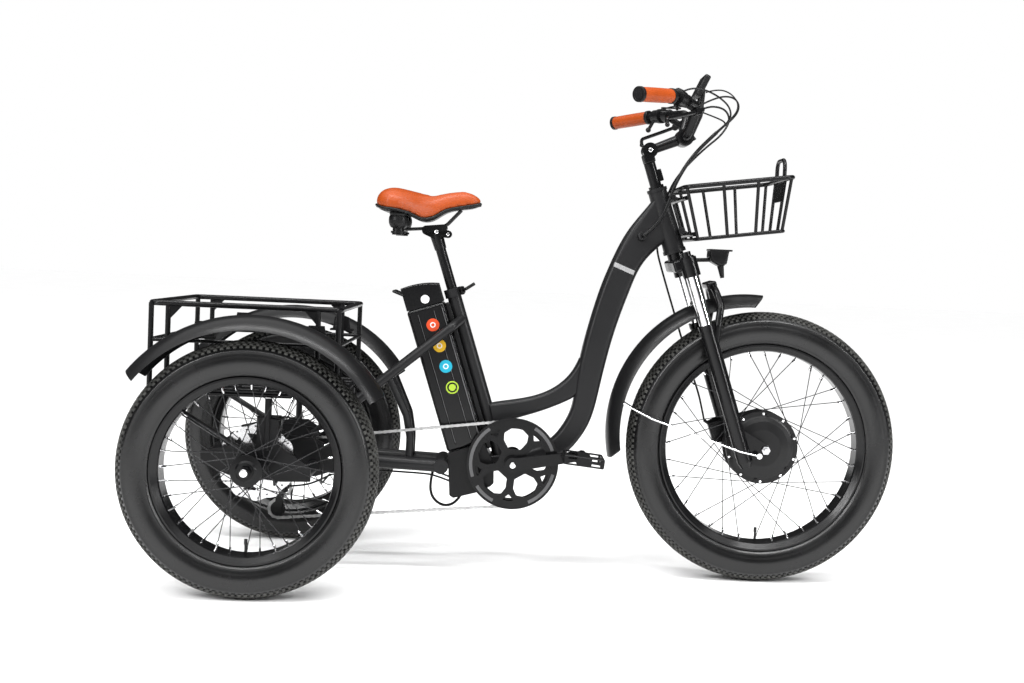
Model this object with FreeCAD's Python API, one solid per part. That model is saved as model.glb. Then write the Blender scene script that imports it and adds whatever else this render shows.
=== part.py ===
import FreeCAD, Part
import math
import os

# Electric tricycle for adults. Millimetres.
# x runs forward, y to the rider's left, z up. While the pieces are drawn, x is counted from the
# rear axle; save() moves everything so that the origin lies on the ground at mid length.

os.makedirs("parts", exist_ok=True)

# ---------------------------------------------------------------- driving dimensions
WHEELBASE = 1216.0
FRONT_R = 341.0            # 24 x 4.0 tyre
REAR_R = 290.0             # 20 x 4.0 tyre
TRACK = 640.0
TYRE_W = 98.0
RIM_W = 80.0
FRONT_FLANGE = 260.0       # outer radius of the front rim
REAR_FLANGE = 209.5        # outer radius of the rear rims
ORIGIN_X = 633.5           # frame origin, counted from the rear axle
HEAD_ANGLE = 18.8          # steering axis, from the vertical
LEG_BEHIND = 58.0          # front axle ahead of the fork legs
STEER_BEHIND = 73.0        # front axle ahead of the steering axis
LEG_Y = 78.0
STANCHION_R = 16.0
LEG_R = 19.5
SEAT_ANGLE = 18.4          # seat tube, from the vertical
BB_X = 592.0
BB_Z = 284.0
CHAIN_Y = -62.0
CHAINRING_TEETH = 52
COG_TEETH = (12, 14, 16, 18, 20, 24, 28)
PITCH = 12.7
CRANK_LENGTH = 170.0
CRANK_ANGLE = 9.7
SPOKES = 36
BASKET_Z = 649.0
BASKET_REAR = -250.0
BASKET_FRONT = 179.0
BASKET_Y = 229.0
GAP = 0.3                  # between faces that only look as if they touch
RUN = 0.05                 # radial clearance of a running fit


# ---------------------------------------------------------------- helpers
def V(x, y, z):
    return FreeCAD.Vector(x, y, z)


def save(name, shape):
    shape = shape.copy()
    shape.translate(V(-ORIGIN_X, 0, 0))
    solids = shape.Solids
    if len(solids) == 1:
        shape = solids[0]
    else:
        shape = Part.makeCompound(solids)
    shape.exportStep("parts/%s.step" % name)
    box = shape.BoundBox
    print("%-20s solids %2d valid %s x %.0f..%.0f y %.0f..%.0f z %.0f..%.0f" % (
        name, len(solids), shape.isValid(), box.XMin, box.XMax, box.YMin, box.YMax, box.ZMin, box.ZMax))


def fuse(shapes):
    result = shapes[0]
    if len(shapes) > 1:
        result = result.multiFuse(shapes[1:])
    return result.removeSplitter()


def cut(shape, tools):
    for tool in tools:
        shape = shape.cut(tool)
    return shape


def largest(shape):
    return max(shape.Solids, key=lambda solid: solid.Volume)


def both(shape):
    """The shape and its mirror image on the other side of the centre plane."""
    return [shape, shape.mirror(V(0, 0, 0), V(0, 1, 0))]


def left(shape):
    return shape.mirror(V(0, 0, 0), V(0, 1, 0))


def rod(a, b, r):
    d = b - a
    return Part.makeCylinder(r, d.Length, a, d)


def taper(a, b, ra, rb):
    d = b - a
    return Part.makeCone(ra, rb, d.Length, a, d)


def ydisc(x, z, r, y0, y1):
    """A cylinder along y."""
    y0, y1 = sorted((y0, y1))
    return Part.makeCylinder(r, y1 - y0, V(x, y0, z), V(0, 1, 0))


def block(x0, x1, y0, y1, z0, z1, r=0.0):
    solid = Part.makeBox(x1 - x0, y1 - y0, z1 - z0, V(x0, y0, z0))
    if r > 0:
        solid = solid.makeFillet(r, solid.Edges)
    return solid


def wire_with_bends(points, bend):
    """Straight runs joined by tangent arcs of the given radius."""
    edges = []
    start = points[0]
    for i in range(1, len(points) - 1):
        a = (points[i - 1] - points[i]).normalize()
        b = (points[i + 1] - points[i]).normalize()
        half = a.getAngle(b) / 2
        reach = min((points[i - 1] - points[i]).Length, (points[i + 1] - points[i]).Length)
        r = min(bend, 0.46 * reach * math.tan(half))
        t = r / math.tan(half)
        p = points[i] + a * t
        q = points[i] + b * t
        axis = (a + b).normalize()
        middle = points[i] + axis * (r / math.sin(half) - r)
        if (p - start).Length > 1e-6:
            edges.append(Part.LineSegment(start, p).toShape())
        edges.append(Part.Arc(p, middle, q).toShape())
        start = q
    edges.append(Part.LineSegment(start, points[-1]).toShape())
    return Part.Wire(edges)


def bar(points, r, bend=30.0):
    """Round bar along straight runs with tangent bends."""
    path = wire_with_bends(points, bend)
    d = points[1] - points[0]
    profile = Part.Wire([Part.makeCircle(r, points[0], d)])
    return path.makePipeShell([profile], True, False)


def jointed(points, r):
    """Thin rod along straight runs with a ball at each joint."""
    runs = [rod(a, b, r) for a, b in zip(points, points[1:])]
    balls = [Part.makeSphere(r, p) for p in points[1:-1]]
    return fuse(runs + balls)


def plate_xz(points, y0, y1):
    """Flat plate with a polygon outline in the x-z plane."""
    ring = [V(x, y0, z) for x, z in points]
    face = Part.Face(Part.makePolygon(ring + [ring[0]]))
    return face.extrude(V(0, y1 - y0, 0))


def spin(profile, x, z, y=0.0):
    """Turns a closed outline of (radius, y) points about the wheel axis at x, z."""
    ring = [V(x, y + b, z + a) for a, b in profile]
    face = Part.Face(Part.makePolygon(ring + [ring[0]]))
    return face.revolve(V(x, 0, z), V(0, 1, 0), 360)


def toothed(teeth, tip, root, x, z, y0, y1, share=0.5):
    """Flat toothed disc about a y axis."""
    points = []
    for i in range(teeth):
        a = 2 * math.pi * i / teeth
        w = 2 * math.pi / teeth
        for r, s in ((root, -0.5), (tip, -share / 2), (tip, share / 2)):
            points.append((x + r * math.cos(a + s * w), z + r * math.sin(a + s * w)))
    return plate_xz(points, y0, y1)


def capsule(a, b, r, y0, y1):
    d = V(b[0] - a[0], 0, b[1] - a[1]).normalize()
    side_step = V(-d.z, 0, d.x) * r
    quad = [(a[0] + side_step.x, a[1] + side_step.z), (b[0] + side_step.x, b[1] + side_step.z),
            (b[0] - side_step.x, b[1] - side_step.z), (a[0] - side_step.x, a[1] - side_step.z)]
    return fuse([ydisc(a[0], a[1], r, y0, y1), ydisc(b[0], b[1], r, y0, y1), plate_xz(quad, y0, y1)])


def turn_y(shape, x, z, degrees):
    """Copy turned about a y axis; positive is counter-clockwise with x right and z up."""
    shape = shape.copy()
    shape.rotate(V(x, 0, z), V(0, -1, 0), degrees)
    return shape


# ---------------------------------------------------------------- slanted coordinates
SIN_H = math.sin(math.radians(HEAD_ANGLE))
COS_H = math.cos(math.radians(HEAD_ANGLE))
SIN_S = math.sin(math.radians(SEAT_ANGLE))
COS_S = math.cos(math.radians(SEAT_ANGLE))
SEAT_FOOT_X = 564.4


def F(d, y, h):
    """Fork coordinates: d forward of the front axle across the fork, h up along the fork."""
    return V(WHEELBASE + d * COS_H - h * SIN_H, y, FRONT_R + d * SIN_H + h * COS_H)


def S(n, y, s):
    """Seat tube coordinates: n forward of the tube's axis, s up along it."""
    return V(SEAT_FOOT_X + n * COS_S - s * SIN_S, y, BB_Z + n * SIN_S + s * COS_S)


def slanted(place, a0, a1, y0, y1, b0, b1, r=0.0):
    """Box in fork or seat tube coordinates, with optional rounded edges."""
    ring = [place(a0, y0, b0), place(a1, y0, b0), place(a1, y0, b1), place(a0, y0, b1)]
    face = Part.Face(Part.makePolygon(ring + [ring[0]]))
    solid = face.extrude(V(0, y1 - y0, 0))
    if r > 0:
        solid = solid.makeFillet(r, solid.Edges)
    return solid


def steer_rod(d, y, h0, h1, r):
    return rod(F(d, y, h0), F(d, y, h1), r)


def seat_rod(n, y, s0, s1, r):
    return rod(S(n, y, s0), S(n, y, s1), r)


# ---------------------------------------------------------------- wheels
def tyre(x, z, y, outer, flange):
    """Hollow tyre whose beads sit between the rim's flanges."""
    bead = flange - 8.5
    lip = flange + 1.5
    half = TYRE_W / 2
    crown = outer
    shoulder = outer - 15
    wide = flange + 34

    def P(r, w):
        return V(x, y + w, z + r)

    def arc(a, b, c):
        return Part.Arc(P(*a), P(*b), P(*c)).toShape()

    def line(a, b):
        return Part.LineSegment(P(*a), P(*b)).toShape()

    inner_half = RIM_W / 2 - 4.3
    edges = [
        line((bead, inner_half), (lip - 1, inner_half)),
        arc((lip - 1, inner_half), (wide, half), (shoulder, half - 9)),
        arc((shoulder, half - 9), (crown, 0), (shoulder, 9 - half)),
        arc((shoulder, 9 - half), (wide, -half), (lip - 1, -inner_half)),
        line((lip - 1, -inner_half), (bead, -inner_half)),
        line((bead, -inner_half), (bead, 6 - inner_half)),
        line((bead, 6 - inner_half), (lip + 1, 6 - inner_half)),
        arc((lip + 1, 6 - inner_half), (wide, 6 - half), (shoulder - 5, 15 - half)),
        arc((shoulder - 5, 15 - half), (crown - 7, 0), (shoulder - 5, half - 15)),
        arc((shoulder - 5, half - 15), (wide, half - 6), (lip + 1, inner_half - 6)),
        line((lip + 1, inner_half - 6), (bead, inner_half - 6)),
        line((bead, inner_half - 6), (bead, inner_half)),
    ]
    face = Part.Face(Part.Wire(edges))
    return face.revolve(V(x, 0, z), V(0, 1, 0), 360)


def rim(x, z, y, flange):
    w = RIM_W / 2
    base = flange - 18
    profile = [
        (flange, w), (flange, w - 4), (flange - 9, w - 4), (flange - 9, w - 12), (base + 4, w - 18),
        (base + 4, 18 - w), (flange - 9, 12 - w), (flange - 9, 4 - w), (flange, 4 - w), (flange, -w),
        (flange - 4, -w), (base + 2, 10 - w), (base, 16 - w), (base, w - 16), (base + 2, w - 10),
        (flange - 4, w),
    ]
    ring = spin(profile, x, z, y)
    valve = Part.makeCylinder(3.3, 60, V(x, y, z - base + 30), V(0, 0, -1))
    hole = valve.common(ring)
    return ring.cut(hole) if hole.Volume > 0 else ring


def spokes(x, z, y, hub_r, hub_half, flange):
    """36 crossed spokes, each with its nipple at the rim."""
    base = flange - 18
    result = []
    for side in (1, -1):
        for lean in (1, -1):
            sweep = math.radians(360.0 / SPOKES * 5.2) * lean
            foot = V(x + hub_r * math.sin(sweep), y + side * hub_half, z + hub_r * math.cos(sweep))
            tip = V(x, y + side * 6, z + base - 1)
            d = (tip - foot).normalize()
            wire = rod(foot, tip, 1.1)
            nipple = rod(tip - d * 13, tip, 2.1)
            one = wire.fuse(nipple).removeSplitter()
            first = (0 if side > 0 else 0.5) + (0 if lean > 0 else 1)
            for i in range(SPOKES // 4):
                result.append(turn_y(one, x, z, (i * 4 + first * 2) * 360.0 / SPOKES))
    return Part.makeCompound(result)


def valve(x, z, y, flange):
    """Valve stem and cap standing in from the rim at the bottom of the wheel."""
    base = flange - 18
    stem = Part.makeCylinder(3.0, 26, V(x, y, z - base - 3), V(0, 0, 1))
    cap = Part.makeCylinder(4.0, 12, V(x, y, z - base + 22), V(0, 0, 1))
    return fuse([stem, cap])


def rotor(x, z, y, r, bore):
    """Wavy brake disc with slots."""
    points = []
    for i in range(96):
        a = 2 * math.pi * i / 96
        rr = r - 2.2 + 2.2 * math.cos(12 * a)
        points.append((x + rr * math.cos(a), z + rr * math.sin(a)))
    disc = plate_xz(points, y - 1, y + 1)
    windows = []
    for i in range(6):
        ring = []
        for rr, deg in ((r - 19, 5), (r - 19, 50), (38, 38), (38, 12)):
            a = math.radians(deg + 60 * i)
            ring.append((x + rr * math.cos(a), z + rr * math.sin(a)))
        windows.append(plate_xz(ring, y - 2, y + 2))
    for i in range(24):
        a = math.radians(15 * i + 4)
        rr = r - 6.5 - 5 * (i % 2)
        windows.append(ydisc(x + rr * math.cos(a), z + rr * math.sin(a), 2.2, y - 2, y + 2))
    windows.append(ydisc(x, z, bore, y - 2, y + 2))
    return disc.cut(Part.makeCompound(windows))


def hex_nut(x, z, y0, y1, across):
    r = across / math.sqrt(3)
    points = [(x + r * math.cos(math.pi / 3 * i), z + r * math.sin(math.pi / 3 * i)) for i in range(6)]
    return plate_xz(points, y0, y1)


# front wheel
save("front_tyre", tyre(WHEELBASE, FRONT_R, 0, FRONT_R, FRONT_FLANGE))
front_valve = valve(WHEELBASE, FRONT_R, 0, FRONT_FLANGE)
save("front_rim", fuse([rim(WHEELBASE, FRONT_R, 0, FRONT_FLANGE), front_valve]))
save("front_spokes", spokes(WHEELBASE, FRONT_R, 0, 91.6, 27, FRONT_FLANGE))

motor = spin([(6.6, -38), (46, -38), (66, -34), (76, -31), (80, -29), (91, -29), (91, -25.5), (82, -25),
              (82, 25), (91, 25.5), (91, 29), (80, 29), (76, 31), (66, 34), (30, 40), (30, 50.8),
              (6.6, 50.8)],
             WHEELBASE, FRONT_R)
motor_bolts = []
for i in range(6):
    a = math.radians(60 * i + 22)
    bx = WHEELBASE + 84.5 * math.cos(a)
    bz = FRONT_R + 84.5 * math.sin(a)
    motor_bolts.append(ydisc(bx, bz, 4.2, -32.5, -28))
save("hub_motor", fuse([motor] + motor_bolts))
save("front_rotor", rotor(WHEELBASE, FRONT_R, 52, 90, 22))

# rear wheels; the right one is driven through its axle, the left one turns on a stub of its own
WHEEL_Y = TRACK / 2
REAR_Z = REAR_R


def rear_hub(inner_end, stops):
    """Hub shell, axle and outer nut of the right wheel in one turned piece."""
    y = -WHEEL_Y
    parts = [
        ydisc(0, REAR_Z, 10, -378, inner_end),
        spin([(0, -34), (20, -34), (24, -31), (36, -30), (36, -26), (22, -24), (19, -10), (19, 10),
              (22, 24), (36, 26), (36, 30), (24, 31), (22, 42), (0, 42)], 0, REAR_Z, y),
        ydisc(0, REAR_Z, 17, -358, -354),
        hex_nut(0, REAR_Z, -370, -358, 24),
    ]
    for y0, y1, r in stops:
        parts.append(ydisc(0, REAR_Z, r, y0, y1))
    return fuse(parts)


right_axle = rear_hub(-8, [(-217, -207, 24), (-206.0, -203, 16)])
save("right_axle", right_axle)
left_axle = left(rear_hub(-84, [(-217, -207, 14)]))
save("left_axle", left_axle)
save("rear_rotor", rotor(0, REAR_Z, -218.3, 90, 11))

right_tyre = tyre(0, REAR_Z, -WHEEL_Y, REAR_R, REAR_FLANGE)
save("right_tyre", right_tyre)
save("left_tyre", left(right_tyre))
right_rim = fuse([rim(0, REAR_Z, -WHEEL_Y, REAR_FLANGE), valve(0, REAR_Z, -WHEEL_Y, REAR_FLANGE)])
save("right_rim", right_rim)
save("left_rim", left(right_rim))
right_spokes = spokes(0, REAR_Z, -WHEEL_Y, 36 + GAP, 28, REAR_FLANGE)
save("right_spokes", right_spokes)
save("left_spokes", left(right_spokes))

# seven sprockets on the driven axle, the smallest in line with the chain
cogs = [ydisc(0, REAR_Z, 18, -66, -28)]
for i, teeth in enumerate(COG_TEETH):
    pitch_r = PITCH / 2 / math.sin(math.pi / teeth)
    y = CHAIN_Y + 5 * i
    tip = pitch_r - 4.4 if i == 0 else pitch_r + 3.5
    cogs.append(toothed(teeth, tip, tip - 5, 0, REAR_Z, y - 1.1, y + 1.1))
save("cassette", cut(fuse(cogs), [ydisc(0, REAR_Z, 10 + GAP / 3, -80, 0)]))


# ---------------------------------------------------------------- fork
CROWN_H0 = 465.0
HEAD_H0 = 530.0
HEAD_H1 = 697.0
LOWER_TOP = 341.0

sockets = []
for y in (LEG_Y, -LEG_Y):
    sockets.append(rod(F(-LEG_BEHIND, y, CROWN_H0), F(-LEG_BEHIND, y, 512), 22))
    sockets.append(rod(F(-LEG_BEHIND, y, 512), F(-LEG_BEHIND, y, 516), 17))
bridge = slanted(F, -96, -36, -86, 86, 484, 514, 6)
race = steer_rod(-STEER_BEHIND, 0, 505, 529, 21)
steerer = steer_rod(-STEER_BEHIND, 0, 500, 700, 14.3)
knob = steer_rod(-LEG_BEHIND, -LEG_Y, 515, 527, 12)
crown = fuse(sockets + [bridge, race, steerer, knob])
bores = [rod(F(-LEG_BEHIND, y, 400), F(-LEG_BEHIND, y, 505), STANCHION_R + 0.02) for y in (LEG_Y, -LEG_Y)]
save("fork_crown", cut(crown, bores))
save("stanchions", Part.makeCompound(
    [rod(F(-LEG_BEHIND, y, 165), F(-LEG_BEHIND, y, 504.9), STANCHION_R) for y in (LEG_Y, -LEG_Y)]))


def fork_leg(y):
    side = 1 if y > 0 else -1
    leg = rod(F(-LEG_BEHIND, y, -12), F(-LEG_BEHIND, y, LOWER_TOP), LEG_R)
    seal = rod(F(-LEG_BEHIND, y, LOWER_TOP - 14), F(-LEG_BEHIND, y, LOWER_TOP), LEG_R + 1.5)
    foot = taper(F(-LEG_BEHIND, y, -26), F(-LEG_BEHIND, y, -12), LEG_R - 6, LEG_R)
    y0 = side * 63
    y1 = side * 75
    low, high = min(y0, y1), max(y0, y1)
    drop = [F(-58, low, -14), F(-30, low, -17), F(6, low, -14), F(14, low, 0), F(6, low, 14), F(-42, low, 66),
            F(-58, low, 66)]
    ear = Part.Face(Part.makePolygon(drop + [drop[0]])).extrude(V(0, high - low, 0))
    bore = rod(F(-LEG_BEHIND, y, 110), F(-LEG_BEHIND, y, LOWER_TOP + 1), STANCHION_R + RUN)
    return fuse([leg, seal, foot, ear]).cut(bore)


arch_path = [F(-50, LEG_Y, 285), F(-30, LEG_Y, 330), F(-8, LEG_Y - 8, 375), F(-8, 52, 418), F(-10, 0, 431)]
arch_path = arch_path + [V(p.x, -p.y, p.z) for p in reversed(arch_path[:-1])]
arch = bar(arch_path, 9, 40)
arch_web = slanted(F, -24, 2, -40, 40, 421, 437, 5)
lowers = fuse([fork_leg(LEG_Y), fork_leg(-LEG_Y), arch, arch_web])
bores = [rod(F(-LEG_BEHIND, y, 110), F(-LEG_BEHIND, y, 400), STANCHION_R + RUN) for y in (LEG_Y, -LEG_Y)]
axle_hole = ydisc(WHEELBASE, FRONT_R, 6.5, -90, 90)
tab_points = [F(-104, 68, 30), F(-60, 68, 20), F(-60, 68, 95), F(-104, 68, 88)]
caliper_tab = Part.Face(Part.makePolygon(tab_points + [tab_points[0]])).extrude(V(0, 6, 0))
fork_lowers = cut(fuse([lowers, caliper_tab]), bores + [axle_hole])
save("fork_lowers", fork_lowers)

front_axle = [ydisc(WHEELBASE, FRONT_R, 6.2, -92, 88)]
for y0, y1 in ((-83, -75.3), (75.3, 83)):
    front_axle.append(hex_nut(WHEELBASE, FRONT_R, y0, y1, 19))
front_axle.append(ydisc(WHEELBASE, FRONT_R, 13, -62.7, -60))
front_axle.append(ydisc(WHEELBASE, FRONT_R, 13, 60, 62.7))
front_axle = fuse(front_axle)
save("front_axle", front_axle)

caliper = fuse([slanted(F, -106, -60, 42, 67.5, 30, 84, 5), slanted(F, -100, -74, 38, 44, 44, 72, 2)])
leg_room = rod(F(-LEG_BEHIND, LEG_Y, -30), F(-LEG_BEHIND, LEG_Y, 200), LEG_R + GAP)
hose_port = rod(F(-96, 52, 76), F(-112, 46, 96), 4)
rim_of_disc = ydisc(WHEELBASE, FRONT_R, 91.5, 49.8, 54.2)
front_caliper = cut(fuse([caliper, hose_port]), [rim_of_disc, leg_room])
front_caliper = largest(front_caliper)
save("front_caliper", front_caliper)

# front fender: a curved sheet with an arched section, fixed to the arch and two wire stays
FENDER_X = 1172.0
FENDER_Z = 374.0
FENDER_R = 350.0


def fender_sheet(x, z, y, r, width, drop, start, stop, thick):
    """Arched strip: crown radius r, edges lower by drop, from start to stop degrees."""
    half = width / 2

    def P(a, b):
        return V(x + a, y + b, z)

    outer = Part.Arc(P(r - drop, half), P(r, 0), P(r - drop, -half)).toShape()
    inner = Part.Arc(P(r - drop, thick - half), P(r - thick, 0), P(r - drop, half - thick)).toShape()
    edges = [
        outer,
        Part.LineSegment(P(r - drop, -half), P(r - drop, thick - half)).toShape(),
        inner,
        Part.LineSegment(P(r - drop, half - thick), P(r - drop, half)).toShape(),
    ]
    face = Part.Face(Part.Wire(edges))
    solid = face.revolve(V(x, 0, z), V(0, -1, 0), stop - start)
    return turn_y(solid, x, z, start)


front_fender = fender_sheet(FENDER_X, FENDER_Z, 0, FENDER_R, 108, 32, 84, 192, 3)
tip_round = Part.makeCylinder(62, 200, V(1142, 0, 600), V(0, 0, 1))
low_end = V(FENDER_X - FENDER_R * math.cos(math.radians(12)), 0,
            FENDER_Z - FENDER_R * math.sin(math.radians(12)))
tail_round = Part.makeCylinder(62, 200, low_end + V(-100, 0, 58), V(1, 0, 0))
tip_room = Part.makeBox(120, 200, 300, V(1142, -100, 600)).cut(tip_round)
tail_room = Part.makeBox(200, 200, 120, low_end + V(-100, -100, -62)).cut(tail_round)
front_fender = cut(front_fender, [tip_room, tail_room])
hanger_tab = slanted(F, -20, -4, -9, 9, 391, 420.5, 2)
front_fender = fuse([front_fender, hanger_tab]).cut(fork_lowers)
save("front_fender", largest(front_fender))

stays = []
for side in (1, -1):
    y = side * 57
    anchor = V(FENDER_X - 319 * math.cos(math.radians(12)), y, FENDER_Z + 319 * math.sin(math.radians(12)))
    points = [anchor, V(930, side * 76, 408), V(1150, side * 99.5, 338), V(1196, side * 99.5, 329)]
    if side > 0:
        points = [anchor, V(930, 80, 400), V(1100, 101, 336), V(1196, 101, 329)]
    wire = jointed(points, 2.0)
    eye = ydisc(1196, 329, 7, min(side * 97, side * 103), max(side * 97, side * 103))
    stays.append(fuse([wire, eye]))
save("fender_stays", Part.makeCompound(stays))

# headlight with its strap from the crown
lamp_side = plate_xz([(1061, 829), (1060, 812), (1068, 800), (1084, 792), (1097, 790), (1105, 800),
                      (1110, 829)], -28, 28)
lamp_body = lamp_side.makeFillet(7, [e for e in lamp_side.Edges if e.BoundBox.ZMin < 828])
visor = block(1060, 1117, -29, 29, 828.5, 833, 1.5)
tail = taper(V(1092, 0, 796), V(1099, 0, 762), 9, 5)
strap = fuse([slanted(F, -35.7, -28, -12, 12, 490, 508), rod(F(-30, 0, 499), V(1066, 0, 806), 5)])
lens = Part.makeCylinder(15, 7, V(1101.5, 0, 811.5), V(1, 0, -0.12))
save("headlight", fuse([lamp_body, visor, tail, strap, lens]))


# ---------------------------------------------------------------- stem and handlebar
PIVOT = V(899.8, 0, 1070.3)
CLAMP = V(984.6, 0, 1106.0)
BAR_R = 11.1
RISE = V(1003, -84, 1176)
GRIP_IN = V(931, -215, 1180)
GRIP_END = V(836, -310, 1168)
GRIP_R = 17.0

cap = steer_rod(-STEER_BEHIND, 0, 697.5, 704, 19)
column = steer_rod(-STEER_BEHIND, 0, 697.5, 776, 14.5)
pinch = slanted(F, -62, -50, -9, 9, 712, 742, 2)
ears = [ydisc(PIVOT.x, PIVOT.z, 19, 12, 22), ydisc(PIVOT.x, PIVOT.z, 19, -22, -12)]
web = slanted(F, -86, -58, -21.5, 21.5, 762, 786, 4)
quill = fuse([cap, column, pinch, web] + ears)
slot = ydisc(PIVOT.x, PIVOT.z, 19.6, -12, 12)
top_bore = steer_rod(-STEER_BEHIND, 0, 690, 701, 14.32)
quill = cut(quill, [slot, top_bore])
pinch_bolts = [rod(F(-56, -13, 720), F(-56, -9, 720), 3.4), rod(F(-56, -13, 734), F(-56, -9, 734), 3.4)]
pivot_bolt = [ydisc(PIVOT.x, PIVOT.z, 5, -24, 24), ydisc(PIVOT.x, PIVOT.z, 8, -26, -22), ydisc(PIVOT.x,
                                                                                               PIVOT.z, 8, 22,
                                                                                               26)]
save("stem_quill", fuse([quill] + pinch_bolts + pivot_bolt))

arm_boss = ydisc(PIVOT.x, PIVOT.z, 18.5, -11.5, 11.5)
arm_bar = taper(PIVOT, CLAMP, 11.4, 14)
arm_clamp = ydisc(CLAMP.x, CLAMP.z, 21.5, -25, 25)
face_bolts = [rod(CLAMP + V(14, y, 12), CLAMP + V(27, y, -4), 3) for y in (-15, 15)]
arm = fuse([arm_boss, arm_bar, arm_clamp] + face_bolts)
arm = cut(arm, [ydisc(PIVOT.x, PIVOT.z, 5 + RUN, -30, 30), ydisc(CLAMP.x, CLAMP.z, 15.92, -60, 60)])
save("stem_arm", arm)

half_bar = [V(CLAMP.x, 0, CLAMP.z), V(CLAMP.x, -54, CLAMP.z), RISE, GRIP_IN, GRIP_END]
mirror_bar = [V(p.x, -p.y, p.z) for p in reversed(half_bar[1:])]
bar_solid = bar(mirror_bar + half_bar[1:], BAR_R, 26)
sleeve = ydisc(CLAMP.x, CLAMP.z, 15.9, -36, 36)
save("handlebar", fuse([bar_solid, sleeve]))

grip_dir = (GRIP_END - GRIP_IN).normalize()
grip_start = GRIP_IN + grip_dir * 12
grip_end = GRIP_END + grip_dir * 4
one_grip = fuse([
    rod(grip_start, grip_end, GRIP_R),
    rod(grip_start, grip_start + grip_dir * 9, GRIP_R + 1.5),
    rod(grip_end - grip_dir * 8, grip_end, GRIP_R + 1.2),
])
one_grip = one_grip.cut(rod(GRIP_IN - grip_dir * 30, GRIP_END + grip_dir * 0.1, BAR_R + 0.02))
save("grips", Part.makeCompound(both(one_grip)))

# display on a bracket round the bar's centre
display_rings = [ydisc(CLAMP.x, CLAMP.z, 20.5, -35, -28), ydisc(CLAMP.x, CLAMP.z, 20.5, 28, 35)]


def tilted(origin, x_dir, z_dir, shape):
    """Moves a shape drawn about the origin to a place with its own x and z directions."""
    y_dir = z_dir.cross(x_dir)
    rotation = FreeCAD.Rotation(x_dir, y_dir, z_dir, "ZXY")
    moved = shape.copy()
    moved.Placement = FreeCAD.Placement(origin, rotation)
    return moved


screen_up = V(0.42, 0, 0.908).normalize()
screen_out = V(-0.908, 0, 0.42).normalize()
screen = tilted(V(1021, 0, 1234), screen_up, screen_out, block(-29, 29, -43, 43, -8, 8, 5))
posts = [bar([V(1001, y, 1113), V(1020, y, 1160), V(1024, y, 1224)], 4.5, 30) for y in (-31.5, 31.5)]
display = cut(fuse(display_rings + [screen] + posts), [ydisc(CLAMP.x, CLAMP.z, 15.92, -60, 60)])
save("display", display)

# brake clamps and levers; each lever turns about an axis square to the lever and the way it is pulled
LEVER_PIVOT = V(988, -168, 1152)
LEVER_ELBOW = V(958, -206, 1141)
LEVER_TIP = V(906, -262, 1123)
lever_dir = (LEVER_TIP - LEVER_PIVOT).normalize()
pull_dir = (V(881, -265, 1173) - LEVER_TIP)
pull_dir = (pull_dir - lever_dir * pull_dir.dot(lever_dir)).normalize()
lever_axis = lever_dir.cross(pull_dir)
print("right lever axis", lever_axis, "left lever axis", V(-lever_axis.x, lever_axis.y, -lever_axis.z))
lever_hook = LEVER_TIP + (LEVER_TIP - LEVER_ELBOW).normalize() * 5 - pull_dir * 15
blade = bar([LEVER_PIVOT, LEVER_ELBOW, LEVER_TIP, lever_hook], 4.6, 22)
lever_boss = Part.makeCylinder(8, 11, LEVER_PIVOT - lever_axis * 5.5, lever_axis)
lever = fuse([blade, lever_boss, Part.makeSphere(5.6, lever_hook)])
lever = lever.cut(Part.makeCylinder(2.5 + RUN, 30, LEVER_PIVOT - lever_axis * 15, lever_axis))
save("brake_lever_right", lever)
save("brake_lever_left", left(lever))

bar_dir = (GRIP_IN - RISE).normalize()


def on_bar(t):
    """Point on the right half of the bar, t from the rise to the grip."""
    return RISE + (GRIP_IN - RISE) * t


bar_cut = bar(half_bar, BAR_R + 0.02, 26)
clamp_a = on_bar(0.52)
clamp_b = on_bar(0.66)
brake_ring = rod(clamp_a, clamp_b, 16)
middle = (clamp_a + clamp_b) * 0.5
reservoir = rod(middle + V(10, 6, -10), LEVER_PIVOT - lever_dir * 12, 8.5)
cheeks = Part.makeCylinder(9, 20, LEVER_PIVOT - lever_axis * 10, lever_axis)
cheek_body = rod(LEVER_PIVOT - lever_dir * 26 + pull_dir * 4, LEVER_PIVOT - lever_dir * 2, 8.5)
lever_room = fuse([
    Part.makeCylinder(12.5, 11.6, LEVER_PIVOT - lever_axis * 5.8, lever_axis),
    tilted(LEVER_PIVOT, lever_dir, lever_axis, block(0, 60, -14, 30, -5.8, 5.8)),
])
brake_body = fuse([brake_ring, reservoir, cheeks, cheek_body]).cut(lever_room)
lever_pin = Part.makeCylinder(2.5, 20, LEVER_PIVOT - lever_axis * 10, lever_axis)
brake_body = fuse([brake_body, lever_pin]).cut(bar_cut)

shift_a = on_bar(0.74)
shift_b = on_bar(0.97)
shifter = rod(shift_a, shift_b, 19)
shift_window = rod(shift_a + V(0, 0, 12), shift_b + V(0, 0, 12) - bar_dir * 8, 10)
SHIFT_PIVOT = (shift_a + shift_b) * 0.5 + V(-3, 2, -21)
shift_post = Part.makeCylinder(3, 12, SHIFT_PIVOT - V(0, 0, 8), V(0, 0, 1))
shift_foot = Part.makeCylinder(9, 6, SHIFT_PIVOT, V(0, 0, 1))
shifter = fuse([shifter, shift_window, shift_foot]).cut(bar_cut)
shifter = fuse([shifter, shift_post.cut(rod(shift_a, shift_b, 12))])

throttle_a = V(shift_a.x, -shift_a.y, shift_a.z)
throttle_b = V(shift_b.x, -shift_b.y, shift_b.z)
throttle_dir = (throttle_b - throttle_a).normalize()
throttle_mid = throttle_a + throttle_dir * 13
left_bar_cut = left(bar_cut)
throttle_body = rod(throttle_a, throttle_mid, 19).cut(left_bar_cut)
bar_controls = Part.makeCompound([brake_body, shifter, left(brake_body), throttle_body])
save("bar_controls", bar_controls)

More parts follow.
